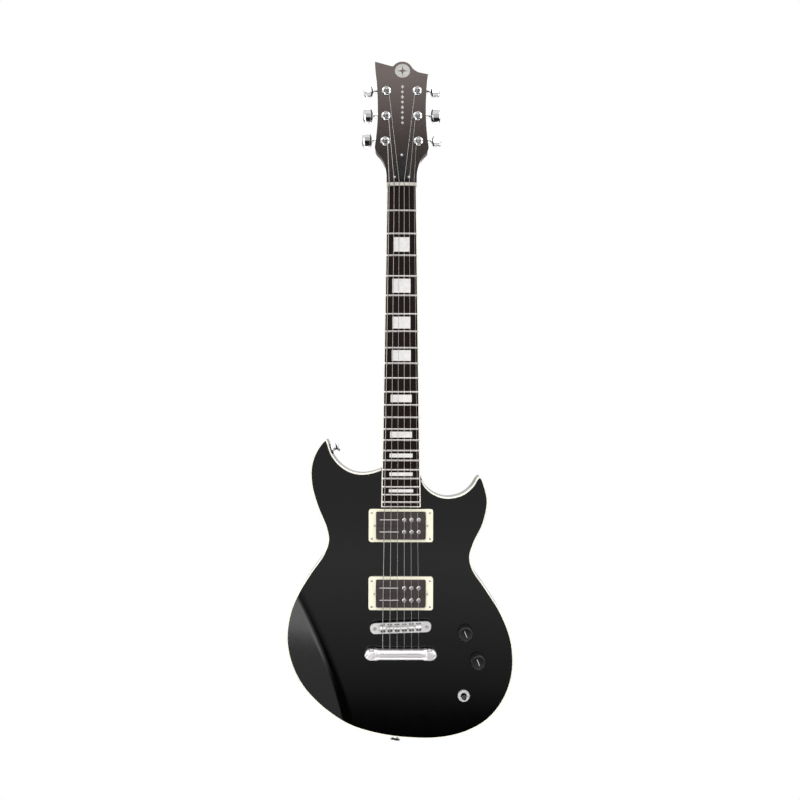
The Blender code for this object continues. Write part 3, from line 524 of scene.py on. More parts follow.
bodySizes = {
    "thick": 45.0,
    "backRound": 5.0,
    "edgeEase": 0.35,
    "bindingWide": 1.6,
    "bindingDeep": 7.0,
    "shellInset": 0.01,
    "fit": 0.3,
    "pocketEnds": (-461.7, -390),
    "pocketFloor": -31.3,
    "pickupWell": (72.5, 41.5),
    "shaftHole": 5.1,
    "bevelCentre": (-812.0, -948.0),
    "bevelRadius": 768.0,
    "bevelSlope": 12.0,
    "bevelRound": 90.0,
    "rim": [
        (-28.5, -405.5), (-41, -410), (-57, -412), (-72, -409), (-87, -399.5), (-98.5, -385),
        (-104.5, -368.5), (-107, -363.6), (-111, -366), (-122, -382), (-128.5, -403), (-127.5, -430),
        (-118.5, -461), (-107, -489), (-104, -508), (-111, -528), (-129, -554), (-146, -582),
        (-158.5, -613), (-163.5, -650), (-158, -683), (-142, -716), (-113, -746), (-72, -771),
        (-30, -783.5), (14, -789), (57, -788.5), (93, -780), (124, -762.5), (147, -734),
        (159.5, -697), (158.5, -653), (143.5, -611), (121, -575), (102.5, -547), (99, -530),
        (104.4, -511), (117.6, -483), (123.8, -452), (119.5, -429.5), (114.6, -417.6), (112, -415.8),
        (109, -418.5), (102, -429.5), (90, -440), (76, -445), (61, -445.6), (46, -440),
        (35, -430.5), (30, -421.5),
    ],
    "heel": [(26, -411), (18, -402.5), (4, -398), (-12, -398.5), (-22, -401.5)],
}


def bevelDrop(inside):
    # how far the forearm bevel has fallen, this far inside its circle
    slope = math.radians(bodySizes["bevelSlope"])
    if inside <= 0:
        return 0.0
    curved = min(inside, bodySizes["bevelRound"] * math.sin(slope))
    drop = bodySizes["bevelRound"] - math.sqrt(bodySizes["bevelRound"] ** 2 - curved**2)
    return drop + (inside - curved) * math.tan(slope)


def bevelCutter():
    insides = [-1.5, 0.0, 1.5, 3, 5, 7, 9, 11, 13, 15, 17, 18.7, 30, 88]
    section = [(w, -bevelDrop(w) if w > 0 else 0.02 * (w < 0)) for w in insides]
    section += [(insides[-1], 6), (insides[0], 6)]
    rings = []
    for step in range(81):
        angle = math.radians(6 + 0.4 * step)  # the stretch of the circle that crosses the body
        out = Vector((math.cos(angle), math.sin(angle)))
        centre = Vector(bodySizes["bevelCentre"])
        rings.append([(*(centre + out * (bodySizes["bevelRadius"] - w)), z) for w, z in section])
    return loftedPiece("bevelCutter", rings)


def makeBody():
    sizes = bodySizes
    outline = smoothPoints(sizes["rim"] + sizes["heel"], 3.0, closed=True)
    end = min(range(len(outline)), key=lambda i: (outline[i] - Vector(sizes["rim"][-1])).length)
    rim = outline[: end + 1]
    normals = inward(outline)
    tips = [Vector((-107, -363.6)), Vector((112, -415.8))]
    rings = []
    for angle in range(0, 91, 15):
        side, rise = 1 - math.cos(math.radians(angle)), 1 - math.sin(math.radians(angle))
        ring = []
        for point, normal in zip(outline, normals):
            near = min((point - tip).length for tip in tips)
            radius = sizes["backRound"] * min(1, max(0.3, near / 40))
            at = point + normal * (radius * side + sizes["shellInset"])
            ring.append((at.x, at.y, -sizes["thick"] + radius * rise))
        rings.append(ring)
    # the binding's channel runs along the rim's top edge, and stops at the heel
    channel = [[], [], []]
    for index, (point, normal) in enumerate(zip(outline, normals)):
        bound = index <= end
        high = -bevelDrop(sizes["bevelRadius"] - (point - Vector(sizes["bevelCentre"])).length)
        deep = high - sizes["bindingDeep"]
        wide = sizes["bindingWide"] if bound else 2 * sizes["shellInset"]
        inside, outside = point + normal * wide, point + normal * sizes["shellInset"]
        channel[0].append((*inside, 0))
        channel[1].append((*inside, deep))
        channel[2].append((*outside, deep))
    shell = loftedPiece("body_shell", [*channel, *rings])
    low, high = sizes["pocketEnds"]
    wideLow, wideHigh = halfWidth(layout["boardEnd"]) + sizes["fit"], halfWidth(-high) + sizes["fit"]
    pocket = [(-wideLow, low), (wideLow, low), (wideHigh, high), (-wideHigh, high)]
    cutters = [bevelCutter(), outlinePiece("pocketCutter", pocket, sizes["pocketFloor"], 9)]
    for y in layout["pickups"].values():
        well = outlinePiece("pickupCutter", rounded(*sizes["pickupWell"], 3), -18.5, 5)
        cutters.append(shifted(well, (0, y, 0)))
    for x, y in [*layout["knobs"].values(), layout["selector"]]:
        hole = turnedPiece("shaftCutter", pegProfile(sizes["shaftHole"], -20, 5), 24)
        cutters.append(shifted(hole, (x, y, 0)))
    seat = turnedPiece("seatCutter", [
        (0, 130), (11, 130), (11, 157.8), (15.7, 157.8), (15.7, 168), (0, 168),
    ], 48)
    cutters.append(shifted(seat, (0, *layout["jack"][1:]), (0, 90, 0)))
    cutBy(shell, cutters)
    settled(shell, frontBoard, "blackLacquer", stands=["body"], smooth=28)

    strip = []
    for point, normal in zip(rim, inward(rim, closed=False)):
        inside = sizes["bevelRadius"] - (point - Vector(sizes["bevelCentre"])).length
        high = -bevelDrop(inside)
        far = point + normal * sizes["bindingWide"]
        ease = sizes["edgeEase"]
        near = point + normal * ease
        deep = high - sizes["bindingDeep"]
        strip.append([
            (*far, high), (*near, high), (*(point + normal * ease * 0.3), high - ease * 0.3),
            (*point, high - ease), (*point, deep), (*far, deep),
        ])
    binding = loftedPiece("body_edge_binding", strip)
    settled(binding, frontBoard, "cream", stands=["body_binding"], smooth=40)


makeBody()
print("body done")


neckSizes = {
    "boardThick": 6.0,
    "gap": 0.3,
    # distance from the nut, depth under the board and squareness of the section
    "stations": [
        (459.5, 31.4, 8.0), (440, 30.8, 7.4), (412, 30.0, 6.0), (404, 29.6, 4.5), (398, 27.2, 3.6),
        (391, 23.2, 3.0), (380, 19.6, 2.6), (360, 18.0, 2.4), (315, 17.5, 2.3), (250, 16.8, 2.3),
        (180, 16.2, 2.3), (120, 15.7, 2.3), (60, 15.3, 2.3), (20, 15.1, 2.3), (0, 15.0, 2.3),
    ],
    "headThick": 15.0,
    "veneer": 1.5,
    "side": [
        (21.7, 0), (22.0, 13), (23.9, 25.4), (27.0, 35), (32.2, 44.2), (36.9, 49.6), (38.9, 54.5),
        (38.7, 61), (37.2, 74), (35.9, 90), (35.2, 112), (35.7, 138), (37.1, 160), (39.0, 178),
        (40.4, 202),
    ],
    "leftCorner": (-39.8, 194.6),
    "dip": (-15.5, 187.3),
    "bump": (0.6, 179.5, 15.3),
    "rightSlope": [(17.0, 182.6), (23.5, 178.0), (31.0, 175.9), (39.2, 174.0)],
    "markPlace": (0.9, 179.5),
    "postHole": 4.9,
    "posts": [(24.2, 66.3), (23.15, 106.5), (22.65, 147.0)],
}


def postSpots():
    bass = [(-1, -x, y) for x, y in neckSizes["posts"]]
    return bass + [(1, x, y) for x, y in neckSizes["posts"][::-1]]


def halfSection(half, depth, squareness, points=33):
    ring = []
    for index in range(points):
        angle = math.pi * index / (points - 1)
        across, down = math.cos(angle), math.sin(angle)
        x = half * math.copysign(abs(across) ** (2 / squareness), across)
        ring.append((x, 0, -depth * abs(down) ** (2 / squareness)))
    return ring


def headTopEdge():
    x, y, radius = neckSizes["bump"]
    bump = arcPoints((x, y), radius, 149, 38, 16)
    slope = smoothPoints([bump[-1], *neckSizes["rightSlope"]], 1.5)
    return [Vector(neckSizes["leftCorner"]), Vector(neckSizes["dip"]), *bump, *slope[1:]]


def headOutline():
    side = smoothPoints(neckSizes["side"], 2.5)
    side[0].y = 0.3
    edge = headTopEdge()
    right = [p for p in side if p.y < edge[-1].y - 1]
    left = [Vector((-p.x, p.y)) for p in side if p.y < edge[0].y - 1]
    return right + edge[::-1] + left[::-1]


def rodRecess():
    return shifted(outlinePiece("recess", rounded(11, 30, 3), -11, 3), (0, 15.5, 0))


def postHoles():
    hole = pegProfile(neckSizes["postHole"], -20, 5)
    return [shifted(turnedPiece("postHole", hole, 24), (x, y, 0)) for _, x, y in postSpots()]


def makeNeck():
    sizes = neckSizes
    stations = [Vector(row) for row in sizes["stations"]]
    rings = []
    for before, after in zip(stations, stations[1:]):
        parts = max(1, round((before - after).length / 12))
        for part in range(parts):
            down, depth, square = before.lerp(after, part / parts)
            section = halfSection(halfWidth(down), depth, square)
            rings.append([Vector((x, -down, z - sizes["boardThick"] - sizes["gap"])) for x, _, z in section])
    woodTop = -sizes["veneer"] - 0.02
    onNeck = neckBoard.inverted() @ headBoard
    for half, up in smoothPoints(sizes["side"], 2.5):
        eased = min(1, up / 30)
        depth = sizes["headThick"] + woodTop + 1.4 * (1 - eased)
        tilt = layout["headTilt"] * (0.5 + 0.5 * min(1, up / 5))
        turn = Matrix.Rotation(math.radians(-tilt), 4, "X")
        start = onNeck @ Vector((0, up, woodTop))
        section = halfSection(half - 0.02, depth, 2.6 + 10 * eased**1.5)
        rings.append([start + turn @ Vector(point) for point in section])
    neck = loftedPiece("neck_wood", rings)
    edge = headTopEdge()
    far = [(60, edge[-1].y - 0.3), (60, 230), (-60, 230), (-60, edge[0].y + 0.5)]
    ends = outlinePiece("endCutter", edge + [Vector(p) for p in far], -40, 10)
    cutters = [ends, rodRecess(), *postHoles()]
    for cutter in cutters:
        cutter.data.transform(onNeck)
    cutBy(neck, cutters)
    settled(neck, neckBoard, "blackLacquer", stands=["neck"], smooth=30)

    veneer = outlinePiece("headstock_veneer", headOutline(), -sizes["veneer"], 0)
    softened(veneer, 0.3, 2, 50)
    cutBy(veneer, [rodRecess(), *postHoles()])
    settled(veneer, headBoard, "headFace", stands=["headstock_overlay"])


makeNeck()


markSizes = {"disc": 11.2, "star": (7.6, 2.1), "half": 2.3, "talls": (2.6, 3.3), "first": 95.5, "step": 8.3}


def makeHeadMarks():
    # a plain pearl disc with a dark four-pointed centre, and a column of small pearl lozenges
    x, y = neckSizes["markPlace"]
    disc = turnedPiece("headstock_disc", pegProfile(markSizes["disc"], -0.3, 0.03), 64)
    settled(disc, headBoard, "headPearl", (x, y, 0))
    star = []
    for point in range(8):
        angle, reach = math.tau * point / 8, markSizes["star"][point % 2]
        star.append((reach * math.cos(angle), reach * math.sin(angle)))
    star = outlinePiece("headstock_star", star, -0.1, 0.06)
    settled(star, headBoard, "headFace", (x, y, 0))
    lozenges = []
    for row in range(8):
        half, tall = markSizes["half"], markSizes["talls"][row % 2]
        lozenge = outlinePiece("lozenge", [(half, 0), (0, tall), (-half, 0), (0, -tall)], -0.2, 0.03)
        lozenges.append(shifted(lozenge, (0, markSizes["first"] + row * markSizes["step"], 0)))
    column = joined("headstock_lozenges", lozenges)
    settled(column, headBoard, "headPearl", (x, 0, 0))


makeHeadMarks()


def makeRodCover():
    side = [(13.5, 4.6), (13.0, 9), (10.0, 17), (7.6, 27), (6.2, 37), (5.0, 44), (2.6, 47.2)]
    side = smoothPoints(side, 1.5)
    outline = side + [Vector((-p.x, p.y)) for p in side[::-1]]
    cover = softened(outlinePiece("rod_cover", outline, 0.02, 2.5), 0.5, 3, 50)
    settled(cover, headBoard, "coverGloss", stands=["truss_rod_cover"])
    for number, (x, y) in enumerate([(0, 43), (10.4, 8.6), (-10.4, 8.6)], 1):
        screw = crossScrew(f"rod_cover_screw_{number}", 1.9, 0.9)
        settled(screw, headBoard, "steel", (x, y, 2.4), (0, 0, 25 * number))


makeRodCover()
print("neck and headstock done")


boardSizes = {
    "sideBinding": 1.5,
    "fretWide": 2.4,
    "fretTall": 1.1,
    # fret number, width and height of the block before it
    "blocks": [
        (3, 23.3, 20.9), (5, 26, 20.1), (7, 25.9, 17), (9, 27.2, 15.5), (12, 30, 10.7),
        (15, 31.2, 8.5), (17, 32.8, 5.7), (19, 33, 5.1), (21, 34.5, 4.5),
    ],
}


def crownedSlab(name, halfFrom, halfTo, yFrom, yTo, low, lift, across=16):
    # a slab whose top follows the fretboard's round
    rings = []
    for half, y in ((halfFrom, yFrom), (halfTo, yTo)):
        spread = [half - 2 * half * index / across for index in range(across + 1)]
        rings.append([(-half, y, low), (half, y, low), *((x, y, lift - crown(x)) for x in spread)])
    return loftedPiece(name, rings)


def makeFretboard():
    inner = boardSizes["sideBinding"] + 0.02
    end = layout["boardEnd"] - inner
    halves = (halfWidth(0) - inner, halfWidth(end) - inner)
    wood = crownedSlab("fretboard_wood", *halves, 0, -end, -6.0, 0)
    settled(wood, neckBoard, "darkBoard", stands=["fretboard"])
    strip = []
    full = layout["boardEnd"]
    corners = [(0, (1, 0), -1), (full, (1, 1), -1), (full, (-1, 1), 1), (0, (-1, 0), 1)]
    for down, way, side in corners:
        outer = Vector((side * halfWidth(down), -down))
        within = outer + Vector(way) * boardSizes["sideBinding"]
        high = -crown(outer.x)
        eased = outer + Vector(way) * 0.35
        strip.append([
            (*outer, -6), (*outer, high - 0.3), (*eased, high), (*within, high + 0.02), (*within, -6),
        ])
    binding = loftedPiece("board_binding", strip)
    settled(binding, neckBoard, "cream", stands=["fretboard_binding"])
    frets = []
    for number in range(1, layout["frets"] + 1):
        down = fretAt(number)
        half = halfWidth(down) - 0.15
        wide, tall = boardSizes["fretWide"] / 2, boardSizes["fretTall"]
        profile = [(-wide, -0.2), (wide, -0.2), (wide, 0.1)]
        for angle in (0.4, 0.9, 1.35, 1.8, 2.25, 2.75):
            profile.append((wide * math.cos(angle), 0.15 + (tall - 0.15) * math.sin(angle)))
        profile.append((-wide, 0.1))
        rings = []
        for step in range(13):
            x = half * (step / 6 - 1)
            sink = 0.75 if step in (0, 12) else 0.0  # filed ends
            x = x * (1 if sink else 0.985)
            rings.append([(x, y - down, max(-0.2, z - sink * (z > 0)) - crown(x)) for y, z in profile])
        frets.append(loftedPiece("fret", rings))
    wires = joined("fret_wires", frets)
    settled(wires, neckBoard, "nickel", smooth=60)
    blocks = []
    for number, wide, tall in boardSizes["blocks"]:
        middle = (fretAt(number) + fretAt(number - 1)) / 2
        ends = (-middle + tall / 2, -middle - tall / 2)
        blocks.append(crownedSlab("block", wide / 2, wide / 2, *ends, -0.8, 0.03))
    inlays = joined("block_inlays", blocks)
    settled(inlays, neckBoard, "pearl")
    dots = []
    for number in (3, 5, 7, 9, 12, 12, 15, 17, 19, 21):
        middle = (fretAt(number) + fretAt(number - 1)) / 2
        if number == 12:
            middle += 4 * (1 if len(dots) == 4 else -1)
        dot = turnedPiece("dot", pegProfile(1.0, 0, 0.35), 16)
        dots.append(shifted(dot, (-halfWidth(middle) + 0.32, -middle, -3.0), (0, -90, 0)))
    sideDots = joined("side_dots", dots)
    settled(sideDots, neckBoard, "dark")


makeFretboard()
refined("nut", "bone", 0.18)
print("fretboard done")


tunerSizes = {
    "wormOffset": 10.4,
    "wormDepth": 19.6,
    "buttonFrom": 19.2,
    "buttonTo": 34.4,
    "halfTall": 11.8,
    "halfThick": 4.3,
    # height and radius along the shaft
    "shaft": [
        (-3.7, 1.6), (-3.5, 2.6), (3.5, 2.6), (3.7, 2.2), (17.2, 2.2), (17.4, 3.2), (17.7, 3.4),
        (18.9, 3.4), (19.2, 2.9),
    ],
    # share of the button's length, and how full its oval is there
    "fullness": [
        (0.0, 0.30), (0.03, 0.42), (0.08, 0.60), (0.16, 0.79), (0.28, 0.93), (0.42, 1.0),
        (0.58, 1.0), (0.74, 0.95), (0.86, 0.84), (0.94, 0.68), (0.985, 0.5), (1.0, 0.34),
    ],
    "buttonTurns": [28, 25, -8, -12, 24, -14],  # how far each button is turned, at rest
}


def keyPiece():
    # shaft, collar and an oval button, along z away from the headstock
    sizes = tunerSizes
    angles = [math.tau * index / 28 for index in range(28)]
    rings = []
    for z, radius in sizes["shaft"]:
        rings.append([(radius * math.cos(angle), radius * math.sin(angle), z) for angle in angles])
    long = sizes["buttonTo"] - sizes["buttonFrom"]
    for share, full in sizes["fullness"]:
        z = sizes["buttonFrom"] + long * share
        ring = []
        for angle in angles:
            x, y = math.cos(angle), math.sin(angle)
            x = full**0.8 * sizes["halfThick"] * math.copysign(abs(x) ** 0.9, x)
            y = full * sizes["halfTall"] * math.copysign(abs(y) ** 0.97, y)
            ring.append((x, y, z))
        rings.append(ring)
    return loftedPiece("keyPattern", rings)


def makeTuners():
    sizes = tunerSizes
    key = keyPiece()
    post = turnedPiece("postPattern", [
        (0, -1), (3.1, -1), (3.1, 2.6), (2.9, 2.9), (2.5, 3.3), (2.5, 6.7), (2.8, 7.1), (3.1, 7.4),
        (3.1, 8.7), (2.9, 9.1), (2.5, 9.4), (2.2, 9.3), (1.7, 8.6), (0.9, 8.1), (0, 8.0),
    ], 32)
    hole = turnedPiece("hole", pegProfile(0.9, -5, 5), 16)
    cutBy(post, [shifted(hole, (0, 0, 4.9), (90, 0, 0))])
    bushing = turnedPiece("bushingPattern", [
        (3.9, -1.2), (4.8, -1.2), (4.8, 0.02), (7.1, 0.02), (7.1, 0.3), (6.95, 0.7), (6.5, 1.2), (5.9, 1.75),
        (5.2, 2.2), (4.7, 2.4), (4.2, 2.3), (3.9, 2.0), (3.9, -1.2),
    ], 40)
    for number, (side, x, y) in enumerate(postSpots(), 1):
        way = (0, side * 90, 0)
        spot = (x, y + sizes["wormOffset"], -sizes["wormDepth"])
        button = again(key, f"tuner_button_{number}")
        shifted(button, turn=(0, 0, side * sizes["buttonTurns"][number - 1]))
        settled(button, headBoard, "chrome", spot, way,
                body=f"tuner_key_{number}", stands=[f"tuner_key_{number}"], smooth=50)
        settled(again(post, f"string_post_{number}"), headBoard, "steel", (x, y, 0),
                body=f"tuner_post_{number}", stands=[f"tuner_post_{number}"])
        settled(again(bushing, f"tuner_bushing_{number}"), headBoard, "chrome", (x, y, 0))
        refined(f"tuner_housing_{number}", "chrome", 0.7, segments=3)
        lug = outlinePiece(f"housing_lug_{number}", rounded(7, 9, 3, 4), -16.3, -15.02)
        settled(lug, headBoard, "chrome", (x - side * 1.5, y + 17.0, 0))
        screw = crossScrew(f"housing_screw_{number}", 1.7, 1.1)
        at = (x - side * 1.5, y + 18.3, -16.28)
        settled(screw, headBoard, "chrome", at, (180, 0, 30 * number))
    for pattern in (key, post, bushing):
        bpy.data.objects.remove(pattern)


makeTuners()
print("tuners done")


for number in range(1, 7):
    look = "woundString" if number <= 3 else "plainString"
    refined(f"string_{number}", look, smooth=80)


pickupSizes = {
    # heights of the ring and of the case
    "tops": {"neck": (4.8, 8.0), "bridge": (8.5, 12.1)},
    "ring": (91.5, 46.8),
    "hole": (70.1, 39.4),
    "case": (68.5, 37.8),
    "rows": (8.6, -8.6),
    "poles": (4.9, 15.1, 25.3),
    "rail": (-30.0, -3.0, 1.2),
}


def makePickups():
    sizes = pickupSizes
    for name, y in layout["pickups"].items():
        ringTop, caseTop = sizes["tops"][name]
        ring = outlinePiece(f"{name}_ring", rounded(*sizes["ring"], 3.5), 0.02, ringTop)
        cutBy(ring, [outlinePiece("hole", rounded(*sizes["hole"], 1.5, 4), -5, 20)])
        softened(ring, 1.1, 4, 50)
        stands = [f"{name}_pickup_ring"]
        settled(ring, frontBoard, "ringCream", (0, y, 0), stands=stands)
        for number, (sx, sy) in enumerate([(1, 1), (-1, 1), (-1, -1), (1, -1)], 1):
            screw = crossScrew(f"{name}_ring_screw_{number}", 2.0, 1.1)
            at = (sx * 41.3, y + sy * 18.3, ringTop - 0.25)
            settled(screw, frontBoard, "chrome", at, (0, 0, 40 * number))
        body = f"{name}_pickup"
        case = outlinePiece(f"{name}_pickup_case", rounded(*sizes["case"], 2, 4), caseTop - 21, caseTop)
        feet = outlinePiece("feet", rounded(83, 13, 1, 2), caseTop - 22, caseTop - 20.6)
        cutBy(case, [feet], "UNION")
        softened(slit(case, 40, 0.35, caseTop - 0.8, caseTop + 2), 0.6, 3, 50)
        settled(case, frontBoard, "bobbin", (0, y, 0), body=body, stands=[body])
        parts = []
        for row in sizes["rows"]:
            low, high, wide = sizes["rail"]
            bar = outlinePiece("rail", rounded(high - low, wide, 0.55, 4), caseTop - 1, caseTop + 0.3)
            parts.append(shifted(softened(bar, 0.25, 3, 50), ((low + high) / 2, row, 0)))
            for x in sizes["poles"]:
                pole = turnedPiece("pole", [
                    (0, -1), (2.75, -1), (2.75, 0.05), (2.6, 0.15), (2.2, 0.23), (1.5, 0.3), (0.8, 0.34),
                    (0, 0.35),
                ], 28)
                parts.append(shifted(slit(pole, 4, 0.3, -0.2, 3), (x, row, caseTop), (0, 0, 35)))
        poles = joined(f"{name}_pole_pieces", parts)
        settled(poles, frontBoard, "chrome", (0, y, 0), body=body)
        for number, x in enumerate((-37.6, 37.6), 1):
            screw = slotScrew(f"{name}_height_screw_{number}", 1.6, 1.4, 0.35)
            settled(screw, frontBoard, "chrome", (x, y, ringTop - 0.4), (0, 0, 30))


makePickups()
print("pickups done")


refined("bridge_body", "satin", 1.6, segments=5)
for number in range(1, 7):
    refined(f"saddle_{number}", "satin", 0.3, body=f"saddle_{number}", segments=3)


tailSizes = {
    "half": 50.8,
    "deep": 15.0,
    "lugDeep": 17.0,
    "lugRound": 8.4,
    "waistEnds": 31.5,
    "low": 5.2,
    "high": 16.5,
    "shoulder": 9.0,
    "stations": [
        -50.8, -50.5, -50.0, -49.0, -47.5, -45.5, -43.5, -42.4, -36, -33.5, -32.8, -32, -31.5, -12, 12,
        31.5, 32, 32.8, 33.5, 36, 42.4, 43.5, 45.5, 47.5, 49.0, 50.0, 50.5, 50.8,
    ],
}


def makeTailpiece():
    # a round-backed bar between two lugs that hang on their studs
    sizes = tailSizes
    low, high, shoulder = sizes["low"], sizes["high"], sizes["shoulder"]
    rings = []
    for x in sizes["stations"]:
        past = max(0, abs(x) - (sizes["half"] - sizes["lugRound"]))
        corner = math.sqrt(max(0.04, sizes["lugRound"] ** 2 - past**2))
        lug = sizes["lugDeep"] / 2 - sizes["lugRound"] + corner
        step = min(1, max(0, (abs(x) - sizes["waistEnds"]) / 2))
        half = sizes["deep"] / 2 + (lug - sizes["deep"] / 2) * step
        ring = [(x, half * 0.94, low), (x, half, low + 0.6)]
        for turn in range(17):
            angle = math.pi * turn / 16
            across, up = math.cos(angle), math.sin(angle) ** 0.8
            ring.append((x, half * across, shoulder + (high - shoulder) * up))
        ring += [(x, -half, low + 0.6), (x, -half * 0.94, low)]
        rings.append(ring)
    bar = loftedPiece("stop_tailpiece", rings)
    cutters = []
    for y, wide in ((2.4, 1.5), (-2.2, 1.0)):
        near, far = (-29.4, y - wide / 2, high - 3.0), (29.8, y + wide / 2, high + 2)
        cutters.append(blockPiece("groove", near, far))
    for side in (-1, 1):
        middle = side * layout["tailStud"]
        slot = arcPoints((middle, 0), 3.9, 180, 360, 16)
        slot += [Vector((middle + 3.9, 14)), Vector((middle - 3.9, 14))]
        cutters.append(outlinePiece("studSlot", slot, low - 2, high + 2))
    for index in range(6):
        hole = turnedPiece("stringHole", pegProfile(1.8, -14, 14), 20)
        cutters.append(shifted(hole, ((index - 2.5) * layout["stringGap"], 0, 11.0), (90, 0, 0)))
    cutBy(bar, cutters)
    softened(bar, 0.2, 2, 40)
    at = (0, layout["tailpiece"], 0)
    settled(bar, frontBoard, "tailSatin", at, stands=["tailpiece"], smooth=40)


makeTailpiece()


def makeBridgeHardware():
    slope = math.radians(layout["bridgeSlant"])
    slant = frontBoard @ Matrix.Translation((0, layout["bridge"], 0)) @ Matrix.Rotation(slope, 4, "Z")
    gap = layout["stringGap"]
    post = [
        (0, -22), (3.0, -22), (3.0, 5.2), (6.6, 5.2), (6.8, 5.4), (6.8, 7.3), (6.6, 7.5), (2.3, 7.5),
        (2.3, 12.8), (2.1, 13.0), (0, 13.0),
    ]
    stud = [
        (0, -22), (4.8, -22), (4.8, 0.02), (6.2, 0.02), (6.4, 0.2), (6.4, 4.7), (6.2, 4.9), (3.5, 4.9),
        (3.5, 16.8), (6.1, 16.8), (6.3, 17.0), (6.3, 18.3), (6.0, 19.0), (5.4, 19.4), (0, 19.4),
    ]
    screw = turnedPiece("saddleScrew", [
        (0, -6.1), (1.0, -6.1), (1.0, 7.0), (1.7, 7.0), (1.7, 7.8), (1.3, 8.2), (0, 8.3),
    ], 20)
    slit(screw, 3, 0.25, 7.7, 9)
    # dark pads on the trough floor before and behind each saddle: painted shade in the gaps beside the
    # saddles
    pads = []
    for index in range(6):
        x = (index - 2.5) * gap
        for y in (-4.6, 4.6):
            pads.append(blockPiece("pad", (x - 3.3, y - 1.1, 9.44), (x + 3.3, y + 1.1, 9.56)))
    shade = joined("bridge_trough_painted_shade", pads)
    settled(shade, slant, "dark")
    for index in range(6):
        place = ((index - 2.5) * gap / math.cos(slope), 0, 11.2)
        one = shifted(again(screw, f"saddle_screw_{index + 1}"), turn=(0, 0, 40 * index))
        settled(one, slant, "steel", place, (90, 0, 0))
    bpy.data.objects.remove(screw)
    for name, side in (("bass", -1), ("treble", 1)):
        pin = turnedPiece(f"bridge_stud_{name}", post, 36)
        slit(pin, 3, 0.4, 12.3, 15)
        at = (side * layout["bridgeStud"], 0, 0)
        stands = [f"bridge_post_{name}"]
        settled(pin, slant, "chrome", at, (0, 0, 20 * side), stands=stands)
        bolt = turnedPiece(f"tail_stud_{name}", stud, 40)
        slit(bolt, 8, 0.8, 18.2, 21)
        at = (side * layout["tailStud"], layout["tailpiece"], 0)
        turn = (0, 0, 35 + 70 * (side > 0))
        stands = [f"tailpiece_stud_{name}"]
        settled(bolt, frontBoard, "satin", at, turn, stands=stands)


makeBridgeHardware()
print("bridge and tailpiece done")


controlSizes = {
    "knobTurn": 22,
    # where each strap button stands on the rim, and the way that it points, in degrees
    "straps": {"upper": ((-101.0, -378.2, -22.5), 21), "lower": ((-6.0, -787.1, -22.5), -98)},
}


